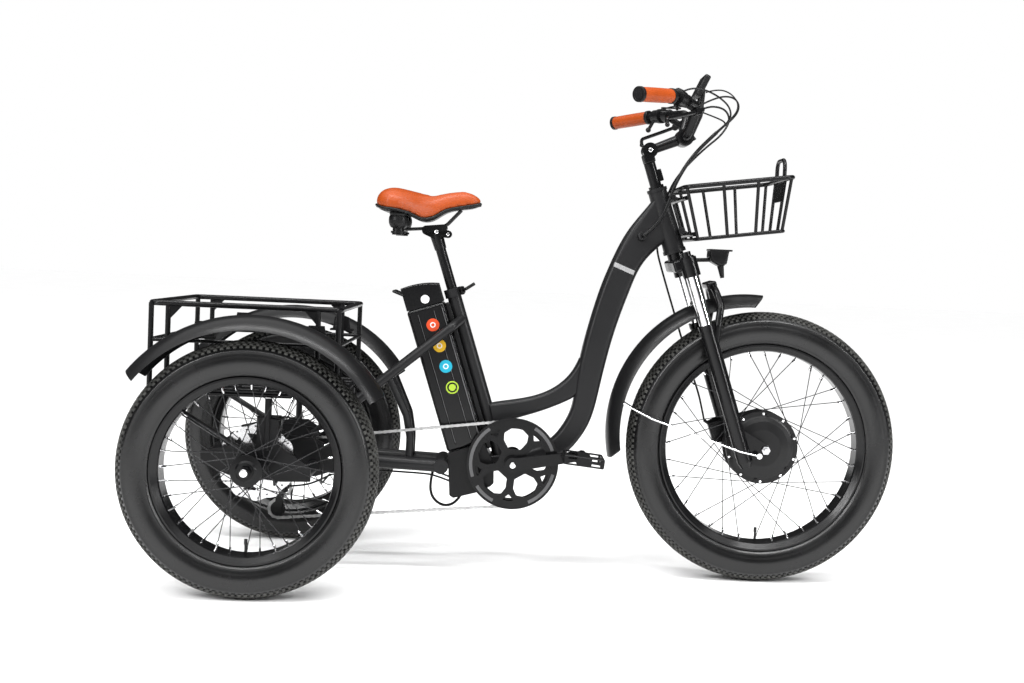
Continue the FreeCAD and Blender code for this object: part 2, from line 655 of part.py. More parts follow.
paddle_tip = SHIFT_PIVOT + V(-31, 6, 0)
paddle_side = V(-6, -31, 0).normalize() * 5
paddle_ring = [SHIFT_PIVOT + paddle_side, paddle_tip + paddle_side, paddle_tip - paddle_side,
               SHIFT_PIVOT - paddle_side]
paddle = Part.Face(Part.makePolygon(paddle_ring + [paddle_ring[0]])).extrude(V(0, 0, 3))
paddle.translate(V(0, 0, -5))
shift_lever = fuse([
    paddle,
    Part.makeCylinder(9, 3, SHIFT_PIVOT - V(0, 0, 5), V(0, 0, 1)),
    Part.makeCylinder(6, 10, paddle_tip - V(0, 0, 12), V(0, 0, 1)),
])
save("shift_lever", shift_lever.cut(Part.makeCylinder(3 + RUN, 40, SHIFT_PIVOT - V(0, 0, 20), V(0, 0, 1))))
print("shift pivot", SHIFT_PIVOT)

twist_ring = rod(throttle_mid + throttle_dir * 0.5, throttle_b - throttle_dir * 0.5, 17)
thumb_root = throttle_mid + throttle_dir * 6
thumb = rod(thumb_root + V(-10, 0, -10), thumb_root + V(-22, 10, -34), 4.5)
thumb_pad = Part.makeSphere(7, thumb_root + V(-23, 11, -36))
throttle = fuse([twist_ring, thumb, thumb_pad])
save("throttle_lever", throttle.cut(rod(throttle_a, throttle_b + throttle_dir * 5, BAR_R + RUN + 0.03)))
print("throttle axis", throttle_dir, "through", throttle_mid)


# ---------------------------------------------------------------- frame
def section_wire(a, b, half, corner):
    """Rounded rectangle spanned by the line from a to b and by y from -half to +half."""
    across = (b - a).normalize()
    along = V(0, 1, 0)
    depth = (b - a).Length
    mid = (a + b) * 0.5
    w = depth / 2
    r = corner

    def at(p, q):
        return mid + across * p + along * q

    k = r * (1 - math.sqrt(0.5))
    edges = [
        Part.makeLine(at(-w + r, -half), at(w - r, -half)),
        Part.Arc(at(w - r, -half), at(w - k, -half + k), at(w, -half + r)).toShape(),
        Part.makeLine(at(w, -half + r), at(w, half - r)),
        Part.Arc(at(w, half - r), at(w - k, half - k), at(w - r, half)).toShape(),
        Part.makeLine(at(w - r, half), at(-w + r, half)),
        Part.Arc(at(-w + r, half), at(-w + k, half - k), at(-w, half - r)).toShape(),
        Part.makeLine(at(-w, half - r), at(-w, -half + r)),
        Part.Arc(at(-w, -half + r), at(-w + k, -half + k), at(-w + r, -half)).toShape(),
    ]
    return Part.Wire(edges)


def shaped_tube(stations):
    """Smooth tube through stations given as upper edge, lower edge, half width and corner radius."""
    wires = [section_wire(V(a[0], 0, a[1]), V(b[0], 0, b[1]), half, corner) for a, b, half,
             corner in stations]
    return Part.makeLoft(wires, True, False)


SPLIT_Z = 545
main_tube = shaped_tube([
    ((914, 948), (958, 850), 19, 10),
    ((866, 884), (933, 832), 25, 13),
    ((837, 834), (901, 797), 28, 15),
    ((812, 775), (877, 752), 28, 15),
    ((788, 705), (854, 686), 28, 15),
    ((768, 630), (832, 614), 28, 15),
    ((753, 562), (817, 552), 28, 15),
    ((744, 505), (806, 498), 27, 14),
    ((740, 462), (797, 450), 26, 13),
    ((735, 425), (786, 404), 25, 12),
    ((720, 386), (767, 360), 24, 12),
    ((697, 352), (739, 321), 23, 12),
    ((662, 325), (690, 288), 22, 12),
    ((600, 304), (606, 267), 20, 12),
    ((584, 298), (586, 270), 19, 11),
])
above_split = Part.makeBox(500, 200, 600, V(600, -100, SPLIT_Z))
down_tube = main_tube.common(above_split)
low_bend = main_tube.cut(above_split)
head_tube = fuse([
    taper(F(-STEER_BEHIND, 0, HEAD_H0), F(-STEER_BEHIND, 0, HEAD_H1), 27, 23.5),
    steer_rod(-STEER_BEHIND, 0, HEAD_H0, HEAD_H0 + 9, 29),
    steer_rod(-STEER_BEHIND, 0, HEAD_H1 - 8, HEAD_H1, 25.5),
])
basket_lugs = [slanted(F, -52, -36, -30, 30, h - 8, h + 8, 2) for h in (578, 664)]
head_bores = [
    steer_rod(-STEER_BEHIND, 0, HEAD_H0 + 10, HEAD_H1 - 10, 18),
    steer_rod(-STEER_BEHIND, 0, HEAD_H0 - 5, HEAD_H1 + 5, 14.3 + RUN),
]
port = rod(V(889, -31, 857), V(886, -22, 854), 11)
front_frame = cut(fuse([head_tube, down_tube, port] + basket_lugs), head_bores)
save("front_frame", front_frame)

beam = shaped_tube([
    ((530, 424), (543, 371), 19, 10),
    ((595, 436), (606, 392), 20, 11),
    ((650, 450), (664, 412), 20, 11),
    ((696, 474), (718, 436), 21, 11),
    ((728, 506), (762, 470), 21, 11),
    ((747, 542), (780, 524), 21, 10),
    ((762, 584), (786, 580), 20, 9),
]).cut(above_split)
SEAT_TUBE_R = 17.25
POST_R = 12.7
seat_tube = seat_rod(0, 0, 0, 441, SEAT_TUBE_R)
collar = fuse([seat_rod(0, 0, 423, 444, 21.5), slanted(S, 14, 30, -9, 9, 425, 442, 2)])
shell = ydisc(BB_X, BB_Z, 21, -50, 50)
cups = [ydisc(BB_X, BB_Z, 24.5, -56, -50), ydisc(BB_X, BB_Z, 24.5, 50, 56)]
quick_bolt = fuse([
    rod(S(24, -14, 433), S(24, 14, 433), 3),
    slanted(S, 21.5, 26.5, -16, -11.8, 422.5, 443.5),
    slanted(S, 20.5, 27.5, -25, -13, 422.5, 425),
    slanted(S, 20.5, 27.5, -25, -13, 441, 443.5),
    rod(S(24, -21.5, 423), S(24, -21.5, 443), 2),
])
nut_end = rod(S(24, 9, 433), S(24, 16, 433), 6)
lower_frame = fuse([low_bend, beam, seat_tube, collar, shell] + cups)
lower_frame = cut(lower_frame, [
    seat_rod(0, 0, 330, 450, POST_R + RUN),
    ydisc(BB_X, BB_Z, 8.5 + RUN, -60, 60),
    slanted(S, 5, 40, -1.5, 1.5, 420, 450),
])
lower_frame = fuse([lower_frame, quick_bolt, nut_end])
save("lower_frame", lower_frame)

lever_hinge = rod(S(24, -21.5, 425.5), S(24, -21.5, 440.5), 5)
lever_blade = bar([S(24, -21.5, 433), S(34, -33, 434), S(58, -37, 441)], 4, 8)
seat_lever = fuse([lever_hinge, lever_blade]).cut(rod(S(24, -21.5, 420), S(24, -21.5, 446), 2 + RUN))
save("seat_lever", seat_lever)

# rear stays: yoke, chain stays, central link, curved struts and straight diagonals
YOKE = (417, 270)
YOKE_R = 18
STAY_Y = 52
DIAG_TOP = V(432, -57, 615)
DIAG_LOW = V(105, -80, 338)
yoke = ydisc(YOKE[0], YOKE[1], YOKE_R, -70, 70)
stays = [rod(V(YOKE[0], y, YOKE[1]), V(165, y, 280), 16) for y in (-STAY_Y, STAY_Y)]
link = slanted(lambda a, y, b: V(YOKE[0] + a, y, YOKE[1] + b + a * 0.091), 0, 162, -20, 20, -13, 13, 3)
diagonals = []
struts = []
for side in (1, -1):
    top = V(451, side * -10, 631)
    diagonals.append(bar([top, V(DIAG_TOP.x, side * DIAG_TOP.y, DIAG_TOP.z), V(DIAG_LOW.x, side * DIAG_LOW.y,
                                                                               DIAG_LOW.z)], 11, 16))
    strut = [V(337, side * -38, 282), V(338, side * -38, 335), V(328, side * -44, 390), V(283, side * -66,
                                                                                          486)]
    struts.append(bar(strut, 9.5, 60))
rear_stays = fuse([yoke, link] + stays + diagonals + struts)
seat_tube_room = seat_rod(0, 0, 0, 445, SEAT_TUBE_R)
shell_room = ydisc(BB_X, BB_Z, 21, -60, 60)
cross_room = ydisc(165, 280, 14, -300, 300)
rear_stays = cut(rear_stays, [seat_tube_room, shell_room, cross_room, low_bend])
save("rear_stays", rear_stays)

# axle carrier: plates with bearings, cross tubes and braces up to the basket
PLATE_OUT = (232, 240)
PLATE_IN = (88, 94)


def side_plate(y0, y1):
    """Upright plate with round ends which carries one axle bearing."""
    outline = [(-124, 286), (-100, 262), (40, 236), (118, 240), (182, 262), (182, 298), (118, 330), (20, 342),
               (-100, 326), (-124, 312)]
    return plate_xz(outline, y0, y1)


CROSS_BARS = [(112, 266), (-110, 300)]
carrier_parts = [ydisc(x, z, 14, -236, 236) for x, z in CROSS_BARS]
carrier_parts.append(ydisc(165, 280, 14, -94, 94))
for side in (1, -1):
    y_in = sorted((side * PLATE_IN[0], side * PLATE_IN[1]))
    y_out = sorted((side * PLATE_OUT[0], side * PLATE_OUT[1]))
    inner = side_plate(y_in[0], y_in[1])
    outer = plate_xz([(-124, 288), (-60, 262), (60, 250), (126, 252), (126, 284), (50, 336), (-60, 330),
                      (-124, 314)], y_out[0], y_out[1])
    housing_in = ydisc(0, REAR_Z, 24, side * 88, side * 104)
    housing_out = ydisc(0, REAR_Z, 24, side * 232, side * 246)
    upright = rod(V(25, side * 236, 320), V(25, side * 236, 440), 8)
    brace = rod(V(-30, side * 236, 318), V(-236, side * 232, 441), 7)
    front_strut = rod(V(165, side * 84, 284), V(177, side * 84, 441), 9)
    carrier_parts += [inner, outer, housing_in, housing_out, upright, brace, front_strut]
centre_plate = plate_xz([(-124, 288), (0, 262), (124, 254), (124, 282), (0, 322), (-124, 312)], -20, -12)
carrier_parts += [centre_plate, ydisc(0, REAR_Z, 22, -24, -9)]
hanger = fuse([
    plate_xz([(14, 262), (42, 262), (40, 214), (18, 214)], -94, -86),
    ydisc(28, 222, 11, -94, -84),
])
carrier_parts.append(hanger)
caliper_tab = plate_xz([(-2, 320), (46, 330), (52, 392), (10, 396)], -240, -232)
carrier_parts.append(caliper_tab)
axle_carrier = cut(fuse(carrier_parts), [ydisc(0, REAR_Z, 10 + RUN, -260, 260)])
axle_carrier = cut(axle_carrier, [rear_stays])
save("axle_carrier", axle_carrier)


# ---------------------------------------------------------------- rear basket and fenders
B_TOP = BASKET_Z
B_MID = 565
B_LOW = 447
TUBE = 6.5


def rail_box(z, r, bend, inset):
    """Rounded rectangle rail at one height, made of four straight runs and four elbow quarters."""
    x0 = BASKET_REAR + inset
    x1 = BASKET_FRONT - inset
    y1 = BASKET_Y - inset
    pieces = []
    for y in (-y1, y1):
        pieces.append(rod(V(x0 + bend, y, z), V(x1 - bend, y, z), r))
    for x in (x0, x1):
        pieces.append(rod(V(x, -y1 + bend, z), V(x, y1 - bend, z), r))
    elbow = Part.makeTorus(bend, r, V(0, 0, 0), V(0, 0, 1), 0, 360, 90)
    for x, y, turn in ((x1 - bend, y1 - bend, 0), (x0 + bend, y1 - bend, 90), (x0 + bend, -y1 + bend, 180),
                       (x1 - bend, -y1 + bend, 270)):
        quarter = elbow.copy()
        quarter.rotate(V(0, 0, 0), V(0, 0, 1), turn)
        quarter.translate(V(x, y, z))
        pieces.append(quarter)
    return fuse(pieces)


top_rail = rail_box(B_TOP, TUBE, 22, 0)
low_rail = rail_box(B_LOW, 6, 18, 2)
uprights = []
for y in (-BASKET_Y, BASKET_Y):
    for x in (-247, -209, 130, 176):
        uprights.append(rod(V(x, y * 0.995, B_LOW), V(x, y, B_TOP), 6))
mid_rails = []
for y in (-BASKET_Y + 1, BASKET_Y - 1):
    mid_rails.append(rod(V(-247, y, B_MID), V(176, y, B_MID), 4.5))
for x in (BASKET_REAR + 1, BASKET_FRONT - 1):
    mid_rails.append(rod(V(x, -BASKET_Y + 3, B_MID), V(x, BASKET_Y - 3, B_MID), 4.5))
floor_bars = [rod(V(x, -BASKET_Y + 2, B_LOW), V(x, BASKET_Y - 2, B_LOW), 5) for x in (-190, -130, -70, -10,
                                                                                      50, 110)]
floor_bars += [rod(V(BASKET_REAR + 2, y, B_LOW), V(BASKET_FRONT - 2, y, B_LOW), 5) for y in (-150, -75, 0, 75,
                                                                                             150)]
gussets = []
for x, way in ((-209, 1), (130, -1)):
    for y in (-BASKET_Y, BASKET_Y):
        corner_plate = [(x, B_TOP - 2), (x + way * 34, B_TOP - 2), (x, B_TOP - 40)]
        gussets.append(plate_xz(corner_plate, y - 2.5, y + 2.5))
rear_basket = fuse([top_rail, low_rail] + uprights + mid_rails + floor_bars + gussets)
rear_basket = largest(rear_basket.cut(axle_carrier))
save("rear_basket", rear_basket)

rear_sheet = fender_sheet(0, REAR_Z, 320, 345, 116, 32, 31, 142, 2.6)
for name, side in (("rear_fender_right", -1), ("rear_fender_left", 1)):
    sheet = rear_sheet.copy()
    if side < 0:
        sheet = left(sheet)
    plate = block(98, 158, 236, 263.5, 575, 580)
    riser = plate_xz([(104, 575), (152, 575), (146, 612), (110, 612)], 236, 240)
    tie_plate = block(-158, -98, 236, 263.5, 573, 578)
    tie_up = plate_xz([(-152, 573), (-104, 573), (-110, 612), (-146, 612)], 236, 240)
    bolts = [rod(V(x, 240, 603), V(x, 244, 603), 5) for x in (128, -128)]
    bracket = fuse([plate, riser, tie_plate, tie_up] + bolts)
    if side < 0:
        bracket = left(bracket)
    keep = fuse([sheet, bracket.cut(fender_sheet(0, REAR_Z, side * 320, 365, 130, 32, 20, 160, 20))])
    save(name, largest(keep))


# ---------------------------------------------------------------- front basket
FB_TOP = [(972, 975), (1234, 1012)]
FB_LOW = [(1010, 853), (1223, 883)]
FB_TOP_Y = 158
FB_LOW_Y = 126


def fb_point(t, y_share, up):
    """Point on the front basket side: t from rear to front, up from floor to rim."""
    low = V(FB_LOW[0][0] + (FB_LOW[1][0] - FB_LOW[0][0]) * t, 0,
            FB_LOW[0][1] + (FB_LOW[1][1] - FB_LOW[0][1]) * t)
    high = V(FB_TOP[0][0] + (FB_TOP[1][0] - FB_TOP[0][0]) * t, 0,
             FB_TOP[0][1] + (FB_TOP[1][1] - FB_TOP[0][1]) * t)
    p = low + (high - low) * up
    p.y = y_share * (FB_LOW_Y + (FB_TOP_Y - FB_LOW_Y) * up)
    return p


def fb_loop(up, r, bend):
    """Closed rounded rail round the front basket at one height share."""
    corners = [fb_point(0, -1, up), fb_point(1, -1, up), fb_point(1, 1, up), fb_point(0, 1, up)]
    pieces = []
    for i in range(4):
        before, here, after = corners[i - 1], corners[i], corners[(i + 1) % 4]
        a = (before - here).normalize()
        b = (after - here).normalize()
        pieces.append(bar([here + a * (before - here).Length * 0.5, here,
                           here + b * (after - here).Length * 0.5], r, bend))
    return fuse(pieces)


fb_parts = [fb_loop(1, 5.5, 24), fb_loop(0, 4.5, 18)]
for y in (-1, 1):
    for t in (0.02, 0.35, 0.67, 0.98):
        fb_parts.append(rod(fb_point(t, y * (0.93 if t in (0.02, 0.98) else 1), 0),
                            fb_point(t, y * (0.95 if t in (0.02, 0.98) else 1), 1), 4))
for t in (0, 1):
    for y in (-0.36, 0.36):
        fb_parts.append(rod(fb_point(t, y, 0), fb_point(t, y, 1), 4))
for t in (0.25, 0.5, 0.75):
    fb_parts.append(rod(fb_point(t, -1, 0), fb_point(t, 1, 0), 3.5))
for y in (-0.36, 0.36):
    fb_parts.append(rod(fb_point(0, y, 0), fb_point(1, y, 0), 3.5))
top_front = fb_point(1, 0, 1)
hoop = [V(top_front.x, -44, top_front.z), V(top_front.x, -44, 1062), V(top_front.x, 44, 1062), V(top_front.x,
                                                                                                 44,
                                                                                                 top_front.z)]
fb_parts.append(bar(hoop, 5, 30))
fb_parts.append(slanted(lambda a, y, b: V(fb_point(1, 0, b).x + a, y, fb_point(1, 0, b).z), -2, 2, -60, 60,
                        0.58, 0.95))
for y in (-24, 24):
    for low, high in ((664, 0.80), (578, 0.10)):
        lug = F(-44, y, low)
        wall = fb_point(0, 0, high)
        wall.y = y
        fb_parts.append(rod(lug, wall + V(3, 0, 0), 4.4))
fb_parts.append(rod(fb_point(0, -0.9, 0.80), fb_point(0, 0.9, 0.80), 5.4))
fb_parts.append(rod(fb_point(0, -0.9, 0.10), fb_point(0, 0.9, 0.10), 5.4))
front_basket = cut(fuse(fb_parts), [front_frame])
save("front_basket", largest(front_basket))


# ---------------------------------------------------------------- battery
BAT_REAR = -121
BAT_FRONT = -27
BAT_LOW = 59
BAT_TOP = 420
BAT_Y = 42
case = slanted(S, BAT_REAR, BAT_FRONT, -BAT_Y, BAT_Y, BAT_LOW, BAT_TOP, 8)
grooves = []
for side in (-1, 1):
    for n in (-96, -56, -36):
        grooves.append(slanted(S, n - 2, n + 2, side * BAT_Y - 2.5, side * BAT_Y + 2.5, BAT_LOW + 14,
                               BAT_TOP - 12, 1))
save("battery_case", cut(case, grooves))


def side_plane(points):
    return [S(n, -38.5, s) for n, s in points]


cap_points = side_plane([(BAT_REAR + 1, BAT_TOP + 0.1), (BAT_REAR + 1, 478)])
cap_mid = V(350, -38.5, 715)
cap_front = S(BAT_FRONT - 1, -38.5, 466)
cap_base = S(BAT_FRONT - 1, -38.5, BAT_TOP + 0.1)
cap_face = Part.Face(Part.Wire([
    Part.makeLine(cap_points[0], cap_points[1]),
    Part.Arc(cap_points[1], cap_mid, cap_front).toShape(),
    Part.makeLine(cap_front, cap_base),
    Part.makeLine(cap_base, cap_points[0]),
]))
cap_solid = cap_face.extrude(V(0, 77, 0))
cap_solid = cap_solid.makeFillet(4, [
    e for e in cap_solid.Edges
    if e.BoundBox.YLength < 0.1 and e.BoundBox.XLength > 70 and e.BoundBox.ZMax > 700
])
LOCK = V(361, 0, 677)
HANDLE = V(307, 0, 684)
lock_well = ydisc(LOCK.x, LOCK.z, 10.6, -60, -30)
handle_bore = ydisc(HANDLE.x, HANDLE.z, 3 + RUN, -60, 60)
charge_door = rod(V(330, -38.5, 668), V(330, -40, 668), 7)
top_cap = cut(fuse([cap_solid, charge_door]), [lock_well, handle_bore])
save("battery_caps", top_cap)
lock_core = fuse([ydisc(LOCK.x, LOCK.z, 10.5, -41, -30.1), block(LOCK.x - 1.6, LOCK.x + 1.6, -43, -40,
                                                                 LOCK.z - 6, LOCK.z + 6)])
save("battery_lock", lock_core)
bail = bar([V(HANDLE.x, -33, HANDLE.z), V(HANDLE.x, -43.5, HANDLE.z), V(HANDLE.x - 24, -43.5, HANDLE.z + 9),
            V(HANDLE.x - 24, 43.5, HANDLE.z + 9), V(HANDLE.x, 43.5, HANDLE.z), V(HANDLE.x, 33, HANDLE.z)], 3,
            6)
save("battery_handle", bail)

rail = slanted(S, BAT_FRONT + 0.4, -14, -24, 24, 38, 414, 3)
box_outline = [(432, 300), (520, 329.5), (546, 278), (548, 230), (540, 222), (505, 205), (449.6, 190),
               (440, 196)]
controller = plate_xz(box_outline, -45, 45)
controller = controller.makeFillet(5, [e for e in controller.Edges if abs(e.BoundBox.YLength - 90) < 0.1])
cradle = cut(fuse([controller, rail]), [
    seat_rod(0, 0, -20, 445, SEAT_TUBE_R),
    slanted(lambda a, y, b: V(YOKE[0] + a, y, YOKE[1] + b + a * 0.091), 0, 162, -20, 20, -13, 13, 3),
    ydisc(YOKE[0], YOKE[1], YOKE_R, -80, 80),
    ydisc(BB_X, BB_Z, 25, -80, 80),
    beam,
    rear_stays,
])
battery_cradle = largest(cradle)
save("battery_cradle", battery_cradle)


# ---------------------------------------------------------------- drive
PEDAL_X = BB_X + CRANK_LENGTH * math.cos(math.radians(CRANK_ANGLE))
PEDAL_Z = BB_Z + CRANK_LENGTH * math.sin(math.radians(CRANK_ANGLE))
PEDAL_PIN = 4.2


def crank_arm(side):
    """One arm with its pedal pin, drawn pointing forward on the given side."""
    y0, y1 = side * 80, side * 94
    body = fuse([
        ydisc(BB_X, BB_Z, 18.5, y0, y1),
        ydisc(BB_X + CRANK_LENGTH, BB_Z, 13, y0, y1),
        plate_xz([(BB_X, BB_Z - 16), (BB_X + CRANK_LENGTH, BB_Z - 11.5), (BB_X + CRANK_LENGTH, BB_Z + 11.5),
                  (BB_X, BB_Z + 16)], y0, y1),
    ])
    pin = ydisc(BB_X + CRANK_LENGTH, BB_Z, PEDAL_PIN, side * 90, side * 186)
    collar = ydisc(BB_X + CRANK_LENGTH, BB_Z, 7, side * 93, side * 98)
    cap = ydisc(BB_X, BB_Z, 7.5, side * 94, side * 96.5)
    return fuse([body, pin, collar, cap])


right_arm = turn_y(crank_arm(-1), BB_X, BB_Z, CRANK_ANGLE)
left_arm = turn_y(crank_arm(1), BB_X, BB_Z, CRANK_ANGLE + 180)
spindle = ydisc(BB_X, BB_Z, 8.5, -94, 94)
save("crank_arms", fuse([right_arm, left_arm, spindle]))


def polar(r, degrees):
    a = math.radians(degrees)
    return (BB_X + r * math.cos(a), BB_Z + r * math.sin(a))


GUARD_R = 112.5
guard = ydisc(BB_X, BB_Z, GUARD_R, -70, -67.5)
windows = []
for k in range(5):
    arm = 49 + 72 * k
    gap = arm + 36
    hole = plate_xz([polar(88, gap - 8), polar(88, gap + 8), polar(79, gap + 22), polar(62, gap + 27),
                     polar(39, gap + 22), polar(39, gap - 22), polar(62, gap - 27), polar(79, gap - 22)], -75,
                     -60)
    windows.append(hole.makeFillet(6, [e for e in hole.Edges if e.BoundBox.YLength > 14]))
    notch = plate_xz([polar(91.5, arm - 9), polar(92.5, arm), polar(91.5, arm + 9), polar(76, arm)], -75, -60)
    windows.append(notch.makeFillet(2, [e for e in notch.Edges if e.BoundBox.YLength > 14]))
guard = cut(guard, windows)
groove_ring = ydisc(BB_X, BB_Z, 108.5, -70.5, -69.3).cut(ydisc(BB_X, BB_Z, 106.5, -71, -69))
guard = guard.cut(groove_ring)
teeth = toothed(CHAINRING_TEETH, 100.9, 96.5, BB_X, BB_Z, -63.5, -60.5)
teeth = teeth.cut(ydisc(BB_X, BB_Z, 86, -70, -55))
spacers = [ydisc(polar(91, 49 + 72 * k + turn)[0], polar(91, 49 + 72 * k + turn)[1], 4.0, -71.0, -60.5)
           for k in range(5) for turn in (-16, 16)]
hub = ydisc(BB_X, BB_Z, 21, -79.9, -67.5)
chainring = cut(fuse([guard, teeth, hub] + spacers), [ydisc(BB_X, BB_Z, 8.5 + 0.02, -90, -50)])
save("chainring", chainring)


def pedal(side, tip):
    """Cage pedal round its pin, flat, then tipped about the pin."""
    x, z = PEDAL_X, PEDAL_Z
    y0, y1 = side * 99, side * 188
    frame_plate = block(x - 49, x + 49, min(y0, y1), max(y0, y1), z - 12, z + 12, 4)
    wells = [block(x + a, x + b, min(side * 108, side * 179), max(side * 108, side * 179), z - 20, z + 20, 3)
             for a, b in ((-42, -15), (15, 42))]
    grip_cuts = []
    for k in range(6):
        y = side * (112 + k * 13)
        grip_cuts += [block(x + end - 3, x + end + 3, y - 3.5, y + 3.5, z - 20, z - 8.5) for end in (-49, 49)]
        grip_cuts += [block(x + end - 3, x + end + 3, y - 3.5, y + 3.5, z + 8.5, z + 20) for end in (-49, 49)]
    reflectors = [block(x + end - 4.0, x + end + 4.0, min(side * 128, side * 160), max(side * 128,
                                                                                       side * 160), z - 6,
                                                                                       z + 6) for end in (-47,
                                                                                                          47)]
    body = fuse([cut(frame_plate, wells + grip_cuts)] + reflectors)
    slots = [block(x + a, x + b, min(side * 98, side * 189), max(side * 98, side * 189), z + c, z + c + 5.2)
             for a, b in ((-39, -18), (18, 39)) for c in (-8.3, 3.1)]
    bore = ydisc(x, z, PEDAL_PIN + RUN, side * 90, side * 187)
    return turn_y(cut(body, slots + [bore]), x, z, tip)


save("pedal_right", pedal(-1, -6))
pedal_left = pedal(1, 4)
pedal_left.translate(V(2 * (BB_X - PEDAL_X), 0, 2 * (BB_Z - PEDAL_Z)))
save("pedal_left", pedal_left)

# derailleur: fixed body on the hanger, sprung cage about the upper jockey wheel
GUIDE = (34, 205)
TENSION = (27, 153)
JOCKEY_PITCH = 22.5
JOCKEY_TIP = 18.2
upper_knuckle = ydisc(28, 222, 10, -84, -71)
lower_knuckle = ydisc(GUIDE[0], GUIDE[1], 9, -82, -70)
body_plates = plate_xz([(18, 226), (40, 226), (46, 203), (38, 192), (24, 194)], -84, -72)
cable_anchor = rod(V(44, -78, 210), V(56, -78, 212), 4)
cage_pin = ydisc(GUIDE[0], GUIDE[1], 3, -71, -66)
derailleur_body = fuse([upper_knuckle, lower_knuckle, body_plates, cable_anchor, cage_pin])
derailleur_body = cut(derailleur_body, [axle_carrier])
save("derailleur_body", derailleur_body)


cage_parts = [capsule(GUIDE, TENSION, 9, -69.5, -67.5), capsule(GUIDE, TENSION, 9, -57, -55)]
for x, z in (GUIDE, TENSION):
    cage_parts.append(ydisc(x, z, 5.5, -68, -56))
    cage_parts.append(toothed(11, JOCKEY_TIP, 15.5, x, z, -63.3, -60.7))
    cage_parts.append(ydisc(x, z, 3.4, -55.5, -53.5))
cage = fuse(cage_parts).cut(ydisc(GUIDE[0], GUIDE[1], 3 + RUN, -75, -65.8))
save("derailleur_cage", cage)

# chain as one band along its run
RING_PITCH = 105.2
COG_PITCH = 24.5
wheels_on_run = [(BB_X, BB_Z, RING_PITCH, 1), (0, REAR_Z, COG_PITCH, 1), (GUIDE[0], GUIDE[1], JOCKEY_PITCH,
                                                                          -1), (TENSION[0], TENSION[1],
                                                                                JOCKEY_PITCH, 1)]


def chain_outline(offset):
    """Closed wire of tangent lines and arcs; offset moves it off the pitch line."""
    leave = []
    arrive = []
    for i, (x1, z1, r1, s1) in enumerate(wheels_on_run):
        x2, z2, r2, s2 = wheels_on_run[(i + 1) % 4]
        d = math.hypot(x2 - x1, z2 - z1)
        phi = math.atan2(z2 - z1, x2 - x1)
        theta = phi - math.acos((s1 * r1 - s2 * r2) / d)
        n = V(math.cos(theta), 0, math.sin(theta))
        leave.append(V(x1, 0, z1) + n * (s1 * r1 + offset))
        arrive.append(V(x2, 0, z2) + n * (s2 * r2 + offset))
    edges = []
    for i, (x, z, r, s) in enumerate(wheels_on_run):
        start = arrive[i - 1]
        end = leave[i]
        centre = V(x, 0, z)
        radius = r + s * offset
        a0 = math.atan2(start.z - z, start.x - x)
        a1 = math.atan2(end.z - z, end.x - x)
        if s > 0:
            while a1 < a0:
                a1 += 2 * math.pi
        else:
            while a1 > a0:
                a1 -= 2 * math.pi
        am = (a0 + a1) / 2
        edges.append(Part.Arc(start, centre + V(math.cos(am), 0, math.sin(am)) * radius, end).toShape())
        edges.append(Part.makeLine(end, arrive[i]))
    return Part.Wire(edges)


chain_faces = [Part.Face(chain_outline(offset)) for offset in (4, -4)]
areas = [face.Area for face in chain_faces]
outer_face = chain_faces[areas.index(max(areas))]
inner_face = chain_faces[areas.index(min(areas))]
chain = outer_face.extrude(V(0, 5.5, 0)).cut(inner_face.extrude(V(0, 5.5, 0)))
chain.translate(V(0, -64.75, 0))
save("chain", chain)
print("chain length", chain.Volume / (8 * 5.5))

rear_caliper = cut(fuse([
    block(-2, 54, -231.9, -206, 350, 400, 5),
    ydisc(26, 372, 10, -206, -198),
    rod(V(48, -222, 392), V(64, -222, 398), 4),
]), [
    ydisc(0, REAR_Z, 92, -220.6, -216),
    axle_carrier,
])
rear_caliper = largest(rear_caliper)
save("rear_caliper", rear_caliper)


# ---------------------------------------------------------------- seat
post = seat_rod(0, 0, 352, 574, POST_R)
head_ring = fuse([
    capsule((355, 849), (398, 854), 8.5, -30, 30),
    capsule((384, 842), (409, 839), 9.5, -15, 15),
    capsule((356, 846), (384, 834), 11, -15, 15),
    taper(S(0, 0, 545), S(0, 0, 584), 14.5, 16.5),
])
clamp_bolts = [ydisc(382, 843, 5, -33, 33), ydisc(409, 839, 4.5, -19, 19)]
RAIL_Y = 22
rail_path = [(300, 846), (345, 850), (374, 855), (402, 858), (440, 900)]
rails = []
for side in (-1, 1):
    rails.append(bar([V(x, side * RAIL_Y, z) for x, z in rail_path], 3.5, 30))
rail_room = [bar([V(x, side * RAIL_Y, z) for x, z in rail_path], 3.52, 30) for side in (-1, 1)]
seatpost = cut(fuse([post, head_ring] + clamp_bolts), rail_room)
save("seatpost", largest(seatpost))

SADDLE = [
    (235, 903, 926, 66), (249, 896, 942, 90), (276, 893, 949, 103), (314, 886, 943, 86), (345, 874, 936, 66),
    (372, 878, 934, 50), (403, 897, 942, 38), (447, 908, 948, 29), (475, 914, 939, 21), (488, 918, 928, 12),
]


def saddle_section(x, low, high, half):
    """Domed section: flat underside, full shoulders, slight hollow along the middle."""
    h = high - low
    points = [V(x, -half * 0.94, low), V(x, -half, low + h * 0.30), V(x, -half * 0.86, low + h * 0.72),
              V(x, -half * 0.45, high), V(x, 0, high - h * 0.06), V(x, half * 0.45, high),
              V(x, half * 0.86, low + h * 0.72), V(x, half, low + h * 0.30), V(x, half * 0.94, low)]
    curve = Part.BSplineCurve()
    curve.interpolate(points)
    return Part.Wire([curve.toShape(), Part.makeLine(points[-1], points[0])])


saddle_pad = Part.makeLoft([saddle_section(*row) for row in SADDLE], True, False)
save("saddle_pad", saddle_pad)


